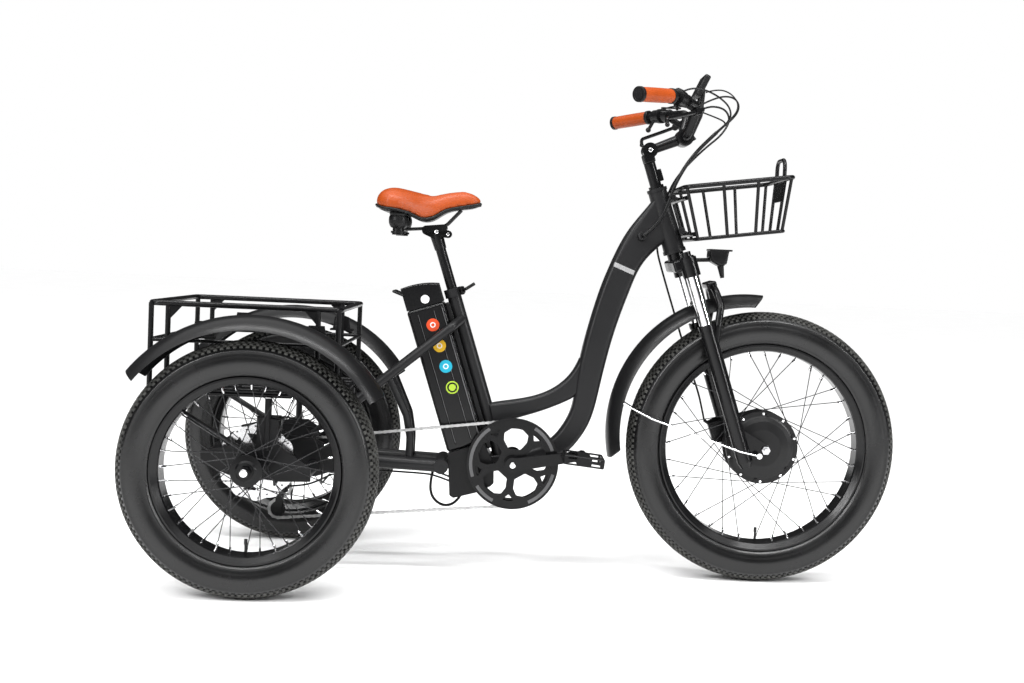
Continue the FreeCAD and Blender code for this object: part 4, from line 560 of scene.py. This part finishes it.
# Coloured discs with plain rings: name, x, z and finish.
STICKERS = [("orange", 0.3826, 0.615, "disc_orange"), ("yellow", 0.4010, 0.5645, "disc_yellow"),
            ("cyan", 0.4184, 0.5143, "disc_cyan"), ("lime", 0.4362, 0.4631, "disc_lime")]
for label, x, z, finish in STICKERS:
    for side in (-1, 1):
        tag = label + ("_right" if side < 0 else "_left")
        centre = at(x, side * DISC_FACE, z)
        out = Vector((0, side, 0))
        ring = 0.0125 if label == "lime" else 0.0
        coin("sticker_" + tag, centre, out, 0.0158, 0.0004, finish, "battery", inner=ring)
        if label == "lime":
            coin("sticker_core_" + tag, centre, out, 0.0085, 0.0004, finish, "battery")
        else:
            coin("sticker_mark_" + tag, centre + out * 0.0004, out, 0.0068, 0.0003, "disc_white", "battery",
                 inner=0.0042)


def slab(name, corners, normal, thick, finish, body):
    """Thin flat plate on four corner points."""
    verts = [c for c in corners] + [c + normal * thick for c in corners]
    faces = [(3, 2, 1, 0), (4, 5, 6, 7), (0, 1, 5, 4), (1, 2, 6, 5), (2, 3, 7, 6), (3, 0, 4, 7)]
    return mesh_piece(name, verts, faces, finish, body, smooth=False)


for side in (-1, 1):
    tag = "right" if side < 0 else "left"
    out = Vector((0, side, 0))
    # Thin grey lines along the battery's three grooves: painted highlights where the groove edges catch the
    # light.
    for index, n in enumerate((-0.0965, -0.0565, -0.0365)):
        slab("groove_%d_%s" % (index, tag),
             [seat_point(n + 0.0002, side * BATTERY_FACE, 0.076),
              seat_point(n + 0.0010, side * BATTERY_FACE, 0.076),
              seat_point(n + 0.0010, side * BATTERY_FACE, 0.405),
              seat_point(n + 0.0002, side * BATTERY_FACE, 0.405)],
             out, 0.0002, "rail_and_groove_highlight", "battery")
    # The edge line is the battery's metal rail, in the same grey.
    slab("edge_line_" + tag,
         [seat_point(-0.0350, side * 0.0341, 0.070), seat_point(-0.0340, side * 0.0341, 0.070),
          seat_point(-0.0340, side * 0.0341, 0.410), seat_point(-0.0350, side * 0.0341, 0.410)],
         out, 0.0081, "rail_and_groove_highlight", "battery")


# ------------------------------------------------------------------ saddle
# Rows along the saddle: x, underside, top and half width, from the rear axle and the ground.
SADDLE = [
    (0.235, 0.903, 0.926, 0.066), (0.249, 0.896, 0.942, 0.090), (0.276, 0.893, 0.949, 0.103),
    (0.314, 0.886, 0.943, 0.086),
    (0.345, 0.874, 0.936, 0.066), (0.372, 0.878, 0.934, 0.050), (0.403, 0.897, 0.942, 0.038),
    (0.447, 0.908, 0.948, 0.029),
    (0.475, 0.914, 0.939, 0.021), (0.488, 0.918, 0.928, 0.012),
]
SKIN = 0.0022      # the form starts this much inside the finished cover
SWELL = 0.005      # most a point of the cover may move


def row_slope(rows, i, k):
    """Slope of column k at row i, between its neighbours."""
    lo, hi = max(0, i - 1), min(len(rows) - 1, i + 1)
    return (rows[hi][k] - rows[lo][k]) / (rows[hi][0] - rows[lo][0])


def saddle_row(x):
    """Underside, top and half width at x, on smooth curves through the rows."""
    i = 0
    while i < len(SADDLE) - 2 and x > SADDLE[i + 1][0]:
        i += 1
    gap = SADDLE[i + 1][0] - SADDLE[i][0]
    t = (x - SADDLE[i][0]) / gap
    values = []
    for k in (1, 2, 3):
        a, b = SADDLE[i][k], SADDLE[i + 1][k]
        ma, mb = row_slope(SADDLE, i, k) * gap, row_slope(SADDLE, i + 1, k) * gap
        values.append((2 * t ** 3 - 3 * t ** 2 + 1) * a + (t ** 3 - 2 * t ** 2 + t) * ma
                      + (3 * t ** 2 - 2 * t ** 3) * b + (t ** 3 - t ** 2) * mb)
    return values


def saddle_ring(x, shrink):
    """Closed section of the pad: flat below, full shoulders, a slight hollow along the middle."""
    low, high, half = saddle_row(x)
    low, high, half = low + shrink * 0.3, high - shrink, half - shrink
    h = high - low
    ring = []
    for k in range(33):
        a = math.pi * k / 32
        y = -half * math.copysign(abs(math.cos(a)) ** 0.62, math.cos(a))
        rise = math.sin(a) ** 0.70
        hollow = 0.05 * h * math.exp(-(y / (0.22 * half)) ** 2)
        side_pull = 0.04 * half * math.exp(-((rise - 0.1) / 0.16) ** 2)
        ring.append(at(x, y - math.copysign(side_pull, y), low + h * rise - hollow))
    for k in range(1, 12):
        ring.append(at(x, half * 0.96 * (1 - k / 6), low))
    return ring


def evaluated(piece):
    """Mesh of the piece as its modifiers leave it."""
    graph = bpy.context.evaluated_depsgraph_get()
    return bpy.data.meshes.new_from_object(piece.evaluated_get(graph))


def settle(piece):
    """Keeps what the modifiers make, and removes them."""
    mesh = evaluated(piece)
    piece.modifiers.clear()
    piece.data = mesh


def swell(piece, pinned, most):
    """Inflates a stuffed form a little by cloth simulation, and holds the points that pinned() names."""
    remesh = piece.modifiers.new("skin", "REMESH")
    remesh.mode = "VOXEL"
    remesh.voxel_size = 0.005
    settle(piece)
    before = [v.co.copy() for v in piece.data.vertices]
    held = piece.vertex_groups.new(name="held")
    held.add([i for i, co in enumerate(before) if pinned(co)], 1.0, "REPLACE")
    cloth = piece.modifiers.new("cover", "CLOTH")
    cloth.settings.use_pressure = True
    cloth.settings.uniform_pressure_force = 4.0
    cloth.settings.vertex_group_mass = "held"
    cloth.settings.effector_weights.gravity = 0.0
    scene = bpy.context.scene
    for step in range(1, 21):
        scene.frame_set(step)
    settle(piece)
    scene.frame_set(1)
    for v, start in zip(piece.data.vertices, before):
        move = v.co - start
        if move.length > most:
            v.co = start + move.normalized() * most
    piece.vertex_groups.clear()
    smooth = piece.modifiers.new("smooth", "SMOOTH")
    smooth.factor = 0.5
    smooth.iterations = 3
    finer = piece.modifiers.new("finer", "SUBSURF")
    finer.levels = 1
    finer.render_levels = 1
    settle(piece)
    piece.data.polygons.foreach_set("use_smooth", [True] * len(piece.data.polygons))


verts, faces = [], []
stations = 64
x0, x1 = SADDLE[0][0], SADDLE[-1][0]
for i in range(stations + 1):
    share = 0.5 - 0.5 * math.cos(math.pi * i / stations)
    ring = saddle_ring(x0 + 0.001 + (x1 - x0 - 0.002) * share, SKIN)
    verts += ring
    if i:
        n = len(ring)
        b0, b1 = (i - 1) * n, i * n
        faces += [(b0 + k, b0 + (k + 1) % n, b1 + (k + 1) % n, b1 + k) for k in range(n)]
n = len(ring)
faces.append(tuple(reversed(range(n))))
faces.append(tuple(stations * n + k for k in range(n)))
saddle = mesh_piece("saddle_cover", verts, faces, "leather", None, replaces=("saddle_pad",))
swell(saddle, lambda co: co.z < saddle_row(min(max(co.x + ORIGIN_X, x0), x1))[0] + 0.0045, SWELL)
saddle.data.materials.clear()
saddle.data.materials.append(M["leather"])
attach(saddle, "seat")


def tube_mesh(name, points, radius, finish, body, sides=14, closed=False):
    """Round tube along a line of points, with flat ends unless it is closed."""
    points = [Vector(p) for p in points]
    n = len(points)
    verts, faces = [], []
    normal = None
    for i, p in enumerate(points):
        if closed:
            along = (points[(i + 1) % n] - points[i - 1]).normalized()
        else:
            along = (points[min(n - 1, i + 1)] - points[max(0, i - 1)]).normalized()
        if normal is None:
            normal = along.orthogonal().normalized()
        normal = (normal - along * normal.dot(along)).normalized()
        other = along.cross(normal)
        for k in range(sides):
            a = 2 * math.pi * k / sides
            verts.append(p + (normal * math.cos(a) + other * math.sin(a)) * radius)
    for i in range(n if closed else n - 1):
        j = (i + 1) % n
        for k in range(sides):
            m = (k + 1) % sides
            faces.append((i * sides + k, i * sides + m, j * sides + m, j * sides + k))
    if not closed:
        faces.append(tuple(reversed(range(sides))))
        faces.append(tuple((n - 1) * sides + k for k in range(sides)))
    return mesh_piece(name, verts, faces, finish, body)


rim_line = []
RIM_STEPS = 48
for side, order in ((-1, range(RIM_STEPS + 1)), (1, range(RIM_STEPS, -1, -1))):
    for i in order:
        share = 0.5 - 0.5 * math.cos(math.pi * i / RIM_STEPS)
        x = x0 + 0.002 + (x1 - x0 - 0.004) * share
        low, high, half = saddle_row(x)
        rim_line.append(at(x, side * (half * 0.965), low - 0.0008))
tube_mesh("saddle_edge", rim_line, 0.0034, "piping", "seat", closed=True)


# ------------------------------------------------------------------ cables
LEAN = math.radians(18.8)


def fork_point(forward_of_axle, y, along):
    """Point given forward of the front axle, square to the fork, and up along the fork; millimetres."""
    return (1000 * WHEELBASE + forward_of_axle * math.cos(LEAN) - along * math.sin(LEAN), y,
            1000 * FRONT_R + forward_of_axle * math.sin(LEAN) + along * math.cos(LEAN))


def smooth_line(route):
    """Points of the smooth NURBS line that a route in millimetres controls."""
    data = bpy.data.curves.new("route", "CURVE")
    data.dimensions = "3D"
    spline = data.splines.new("NURBS")
    spline.points.add(len(route) - 1)
    for control, p in zip(spline.points, route):
        control.co = (*at(p[0] / 1000, p[1] / 1000, p[2] / 1000), 1.0)
    spline.order_u = 3
    spline.use_endpoint_u = True
    data.resolution_u = 16
    holder = bpy.data.objects.new("route", data)
    bpy.context.scene.collection.objects.link(holder)
    bpy.context.view_layer.update()
    mesh = bpy.data.meshes.new_from_object(holder)
    line = [v.co.copy() for v in mesh.vertices]
    bpy.data.objects.remove(holder)
    bpy.data.curves.remove(data)
    bpy.data.meshes.remove(mesh)
    return line


def cable(name, route, radius, body=None, bend=None, node="steering_cables"):
    """Cable tube along a route, riding body if one is given; bend's bodies and end points are not used, and with
    bend the placing is baked into the mesh.
    """
    line = smooth_line(route)
    piece = tube_mesh(name, line, radius, "rubber", body)
    if bend:
        a, b, start, end = bend
        tuple(start)
        tuple(end)
        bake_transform(piece)
    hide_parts(node)
    tuple(line[0])
    [tuple(p) for p in line]


def mm(x, y, z):
    """Point given in millimetres from the rear axle."""
    return at(x / 1000, y / 1000, z / 1000)


LOOM_TOP = (1060, -40, 1120)
loom_route = [(890, -33, 857.5), (908, -42, 872), (931, -46, 900), (948, -47, 940), (961, -46, 985),
              (984, -42, 1030),
              (1010, -40, 1067), (1036, -40, 1096), LOOM_TOP]
cable("loom", loom_route, 0.0046, bend=("frame", "steering", mm(900, -38, 865), mm(984, -42, 1030)))
right_brake = [(995, -150, 1168), (1040, -120, 1196), (1088, -90, 1204), (1112, -62, 1184), (1098, -46, 1152),
               (1055, -40, 1116.5)]
cable("right_brake_cable", right_brake, 0.0022, bend=("stem", "steering", mm(*right_brake[0]), mm(*LOOM_TOP)))
shifter_route = [(948, -188, 1194), (968, -184, 1206), (1006, -168, 1206), (1046, -140, 1194),
                 (1080, -106, 1174),
                 (1088, -72, 1146), (1054, -41.5, 1112.5)]
cable("shifter_cable", shifter_route, 0.0022, bend=("stem", "steering", mm(*shifter_route[0]), mm(*LOOM_TOP)))
display_route = [(1034, 0, 1222), (1062, -4, 1232), (1096, -14, 1222), (1116, -26, 1192), (1100, -34, 1158),
                 (1056, -38, 1119)]
cable("display_cable", display_route, 0.0018, bend=("stem", "steering", mm(*display_route[0]), mm(*LOOM_TOP)))
throttle_route = [(948, 187, 1194), (968, 184, 1206), (1006, 168, 1206), (1046, 138, 1190), (1078, 92, 1172),
                  (1092, 36, 1156), (1084, -16, 1140), (1053, -38, 1114)]
cable("throttle_cable", throttle_route, 0.0020, bend=("stem", "steering", mm(*throttle_route[0]),
                                                      mm(*LOOM_TOP)))
hose_join = (989, 47, 1024.5)
upper_hose = [(1000, 150, 1170), (1050, 130, 1204), (1098, 98, 1200), (1112, 66, 1166), (1088, 44, 1124),
              (1046, 40, 1088),
              (1006, 44, 1046), hose_join]
cable("front_hose_upper", upper_hose, 0.0026, bend=("stem", "steering", mm(*upper_hose[0]),
                                                    mm(1046, 40, 1088)))
lower_hose = [hose_join, (972, 50, 1003), (952, 54, 950), (944, 62, 895), fork_point(-106, 70, 560),
              fork_point(-108, 74, 490),
              fork_point(-106, 74, 220), fork_point(-104, 70, 165), fork_point(-108, 58, 125),
              fork_point(-112, 46, 97)]
cable("front_hose_lower", lower_hose, 0.0026, bend=("steering", "lowers", mm(944, 62, 895),
                                                    mm(*fork_point(-108, 74, 460))))
shift_route = [(437, -29, 230), (402, -31, 243), (370, -31, 247), (190, -31, 252), (150, -44, 238),
               (122, -72, 226),
               (92, -79, 215), (57, -78, 212)]
cable("shift_housing", shift_route, 0.0024, body="frame", node="frame_cables")
rear_route = [(437, 29, 230), (402, 31, 243), (370, 31, 247), (190, 31, 250), (150, 12, 240), (142, -30, 234),
              (142, -180, 234),
              (150, -214, 262), (148, -223, 310), (128, -224, 360), (92, -222, 392), (65, -222, 398.5)]
cable("rear_hose", rear_route, 0.0024, body="frame", node="frame_cables")
motor_route = [(470, 0, 196), (458, 0, 172), (428, -2, 160), (398, -4, 178), (388, -4, 214), (396, -2, 251)]
cable("motor_lead", motor_route, 0.0034, body="frame", node="frame_cables")


# ------------------------------------------------------------------ painted bands, painted guard highlights, bolts, lens
def patch(name, node, corners, body, finish, lift=0.0004, nu=24, nv=6):
    """Thin painted patch lying on a node's surface, spread between four corner points."""
    mesh = NODES[node].data
    tree = BVHTree.FromPolygons([v.co for v in mesh.vertices], [tuple(p.vertices) for p in mesh.polygons])
    a, b, c, d = corners
    verts, faces = [], []
    for layer in (lift, -0.0003):
        for j in range(nv + 1):
            for i in range(nu + 1):
                u, v = i / nu, j / nv
                p = (a * (1 - u) + b * u) * (1 - v) + (d * (1 - u) + c * u) * v
                spot, normal = tree.find_nearest(p)[:2]
                verts.append(spot + normal * layer)
    size = (nu + 1) * (nv + 1)
    for j in range(nv):
        for i in range(nu):
            q = j * (nu + 1) + i
            faces.append((q, q + 1, q + nu + 2, q + nu + 1))
            faces.append((size + q, size + q + nu + 1, size + q + nu + 2, size + q + 1))
    for i in range(nu):
        faces.append((i + 1, i, size + i, size + i + 1))
        q = nv * (nu + 1) + i
        faces.append((q, q + 1, size + q + 1, size + q))
    for j in range(nv):
        q = j * (nu + 1)
        faces.append((q, q + nu + 1, size + q + nu + 1, size + q))
        q += nu
        faces.append((q + nu + 1, q, size + q, size + q + nu + 1))
    return mesh_piece(name, verts, faces, finish, body)


for side in (-1, 1):
    tag = "right" if side < 0 else "left"
    patch("tube_band_" + tag, "front_frame",
          [at(0.8190, side * 0.034, 0.7915), at(0.8790, side * 0.034, 0.7680),
           at(0.8760, side * 0.034, 0.7570),
           at(0.8160, side * 0.034, 0.7805)], "frame", "band")


def ring_sector(name, a0, a1, r0, r1, y0, y1, finish):
    """Flat ring sector round the crank axis, angles in degrees."""
    verts, faces = [], []
    steps = max(8, int((a1 - a0) / 3))
    for i in range(steps + 1):
        a = math.radians(a0 + (a1 - a0) * i / steps)
        for r, y in ((r0, y0), (r1, y0), (r1, y1), (r0, y1)):
            verts.append(at(BB[0] + r * math.cos(a), y, BB[1] + r * math.sin(a)))
        if i:
            for k in range(4):
                m = (k + 1) % 4
                faces.append(((i - 1) * 4 + k, (i - 1) * 4 + m, i * 4 + m, i * 4 + k))
    faces.append((3, 2, 1, 0))
    faces.append(tuple(steps * 4 + k for k in range(4)))
    mesh_piece(name, verts, faces, finish, "crank", smooth=False)


# Grey arcs on the chain guard's face: painted highlights where its bevelled face catches the light.
for index, (a0, a1) in enumerate(((20, 60), (125, 200), (214, 244), (294, 347))):
    ring_sector("guard_arc_%d" % index, a0, a1, 0.0985, 0.1065, -0.0697, -0.0704, "guard_highlight")


def bolt(name, centre, normal, r, height, body, finish="bright", hexagon=True):
    """Button-head bolt with a hexagon socket, or a plain domed end."""
    normal = Vector(normal).normalized()
    u = normal.orthogonal().normalized()
    v = normal.cross(u)
    steps = 48
    profile = [(r, 0.0), (r, height * 0.5), (r * 0.93, height * 0.78), (r * 0.78, height * 0.95),
               (r * 0.6, height)]
    verts, faces = [], []

    def ring(radius_of, h):
        """One ring of points at height h."""
        for k in range(steps):
            a = 2 * math.pi * k / steps
            verts.append(centre + (u * math.cos(a) + v * math.sin(a)) * radius_of(a) + normal * h)

    for rr, h in profile:
        ring(lambda a, rr=rr: rr, h)
    if hexagon:
        flat = 0.40 * r
        for h in (height, height * 0.35):
            ring(lambda a: flat / math.cos((a % (math.pi / 3)) - math.pi / 6), h)
    else:
        ring(lambda a: r * 0.3, height * 1.02)
    rings = len(verts) // steps
    for i in range(rings - 1):
        for k in range(steps):
            m = (k + 1) % steps
            faces.append((i * steps + k, i * steps + m, (i + 1) * steps + m, (i + 1) * steps + k))
    faces.append(tuple(reversed(range(steps))))
    faces.append(tuple((rings - 1) * steps + k for k in range(steps)))
    return mesh_piece(name, verts, faces, finish, body, smooth=False)


for side in (-1, 1):
    tag = "right" if side < 0 else "left"
    out = (0, side, 0)
    bolt("crank_bolt_" + tag, at(BB[0], side * 0.0964, BB[1]), out, 0.0072, 0.0020, "crank")
    bolt("seat_bolt_" + tag, at(0.382, side * 0.0329, 0.843), out, 0.0048, 0.0018, "seat")
    bolt("seat_bolt_front_" + tag, at(0.409, side * 0.0189, 0.839), out, 0.0044, 0.0018, "seat")
    bolt("stem_bolt_" + tag, at(0.8998, side * 0.0259, 1.0703), out, 0.0056, 0.0022, "steering")
coin("headlight_lens", at(1.1083, 0, 0.8107), Vector((1, 0, -0.12)), 0.0138, 0.0010, "lens", "steering")
for index in range(10):
    angle = math.radians(18 + 36 * index)
    place = at(WHEELBASE + 0.0855 * math.cos(angle), -0.0289, FRONT_R + 0.0855 * math.sin(angle))
    bolt("motor_bolt_%d" % index, place, (0, -1, 0), 0.0034, 0.0018, "front_wheel")
bolt("axle_end_right", at(0, -0.3779, REAR_R), (0, -1, 0), 0.0085, 0.0016, "right_wheel", hexagon=False)
bolt("axle_end_left", at(0, 0.3779, REAR_R), (0, 1, 0), 0.0085, 0.0016, "left_wheel", hexagon=False)


def nipples(name, node, body, centre):
    """Bright spoke nipples, at the outer ends of the spokes in a node."""
    ends = {}
    reach = 0.0
    points = [v.co - centre for v in NODES[node].data.vertices]
    for p in points:
        reach = max(reach, math.hypot(p.x, p.z))
    for p in points:
        r = math.hypot(p.x, p.z)
        if r > reach - 0.004:
            key = round(math.degrees(math.atan2(p.z, p.x)) / 2.5)
            ends.setdefault(key, []).append(p)
    verts, faces = [], []
    for key in sorted(ends):
        group = ends[key]
        middle = sum(group, Vector()) / len(group)
        along = Vector((-middle.x, 0, -middle.z)).normalized()
        u = along.cross(Vector((0, 1, 0))).normalized()
        v = Vector((0, 1, 0))
        base = len(verts)
        for distance, r in ((-0.001, 0.0022), (0.009, 0.0022), (0.011, 0.0016), (0.013, 0.0012)):
            for k in range(8):
                a = 2 * math.pi * k / 8
                verts.append(centre + middle + along * distance + (u * math.cos(a) + v * math.sin(a)) * r)
        for i in range(3):
            for k in range(8):
                m = (k + 1) % 8
                faces.append((base + i * 8 + k, base + i * 8 + m, base + i * 8 + 8 + m, base + i * 8 + 8 + k))
        faces.append(tuple(base + k for k in reversed(range(8))))
        faces.append(tuple(base + 24 + k for k in range(8)))
    mesh_piece(name, verts, faces, "bright", body, smooth=False)


nipples("front_nipples", "front_spokes", "front_wheel", at(WHEELBASE, 0, FRONT_R))
nipples("right_nipples", "right_spokes", "right_wheel", at(0, -WHEEL_Y, REAR_R))
nipples("left_nipples", "left_spokes", "left_wheel", at(0, WHEEL_Y, REAR_R))


# ------------------------------------------------------------------ camera, light, floor
EYE = at(0.53654, -3.22317, 0.78143)
YAW, PITCH, ROLL = math.radians(3.62), math.radians(2.57), math.radians(2.63)
forward = Vector((math.sin(YAW) * math.cos(PITCH), math.cos(YAW) * math.cos(PITCH), -math.sin(PITCH)))
right = Vector((math.cos(YAW), -math.sin(YAW), 0))
up = right.cross(forward)
view_right = right * math.cos(ROLL) + up * math.sin(ROLL)
view_up = up * math.cos(ROLL) - right * math.sin(ROLL)
camera_data = bpy.data.cameras.new("camera")
camera = bpy.data.objects.new("camera", camera_data)
bpy.context.scene.collection.objects.link(camera)
camera_data.sensor_width = 36
camera_data.lens = 45.44
camera_data.shift_x = -0.0642
camera_data.shift_y = -0.0194
camera_data.clip_end = 60
camera.matrix_world = Matrix((
    (view_right.x, view_up.x, -forward.x, EYE.x), (view_right.y, view_up.y, -forward.y, EYE.y),
    (view_right.z, view_up.z, -forward.z, EYE.z), (0, 0, 0, 1)))
bpy.context.scene.camera = camera

world = bpy.data.worlds.new("studio")
bpy.context.scene.world = world
world.use_nodes = True
sky = world.node_tree
sky.nodes.clear()
sky_out = sky.nodes.new("ShaderNodeOutputWorld")
seen = sky.nodes.new("ShaderNodeBackground")
seen.inputs["Color"].default_value = (1, 1, 1, 1)
seen.inputs["Strength"].default_value = 1.0
lit = sky.nodes.new("ShaderNodeBackground")
lit.inputs["Color"].default_value = (1, 1, 1, 1)
lit.inputs["Strength"].default_value = 0.05
choose = sky.nodes.new("ShaderNodeMixShader")
path = sky.nodes.new("ShaderNodeLightPath")
sky.links.new(path.outputs["Is Camera Ray"], choose.inputs["Fac"])
sky.links.new(lit.outputs["Background"], choose.inputs[1])
sky.links.new(seen.outputs["Background"], choose.inputs[2])
sky.links.new(choose.outputs["Shader"], sky_out.inputs["Surface"])


def softbox(name, place, target, size, power):
    """Rectangular area light that faces its target."""
    data = bpy.data.lights.new(name, "AREA")
    data.shape = "RECTANGLE"
    data.size, data.size_y = size
    data.energy = power
    lamp = bpy.data.objects.new(name, data)
    bpy.context.scene.collection.objects.link(lamp)
    lamp.location = place
    lamp.rotation_euler = (Vector(target) - Vector(place)).to_track_quat("-Z", "Y").to_euler()


softbox("overhead", (0.0, -1.0, 3.0), (0, 0, 0.3), (3.8, 0.22), 105)
softbox("key_left", (-2.8, -2.4, 2.1), (-0.2, 0, 0.5), (0.16, 2.4), 95)
softbox("rim_right", (3.0, -1.8, 1.7), (0.4, 0, 0.5), (0.16, 2.2), 80)
softbox("front_strip", (0.3, -3.6, 2.6), (0.1, 0, 0.4), (3.2, 0.14), 62)
sky_data = bpy.data.lights.new("sky_light", "SUN")
sky_data.energy = 3.5
sky_data.angle = math.radians(100)
sky_lamp = bpy.data.objects.new("sky_light", sky_data)
bpy.context.scene.collection.objects.link(sky_lamp)
sky_lamp.rotation_euler = (math.radians(12), math.radians(-6), 0)

floor_mesh = bpy.data.meshes.new("floor")
SPAN = 30
floor_mesh.from_pydata([(-SPAN, -SPAN, 0), (SPAN, -SPAN, 0), (SPAN, SPAN, 0), (-SPAN, SPAN, 0)], [],
                       [(0, 1, 2, 3)])
floor = bpy.data.objects.new("floor", floor_mesh)
bpy.context.scene.collection.objects.link(floor)
floor_mesh.materials.append(shade("pale_floor", (0.93, 0.93, 0.93), 0.75, vary=0.01, scale=2, grain=60,
                                  bump=0.0, specular=0.2))
bpy.context.scene.view_settings.view_transform = "Standard"
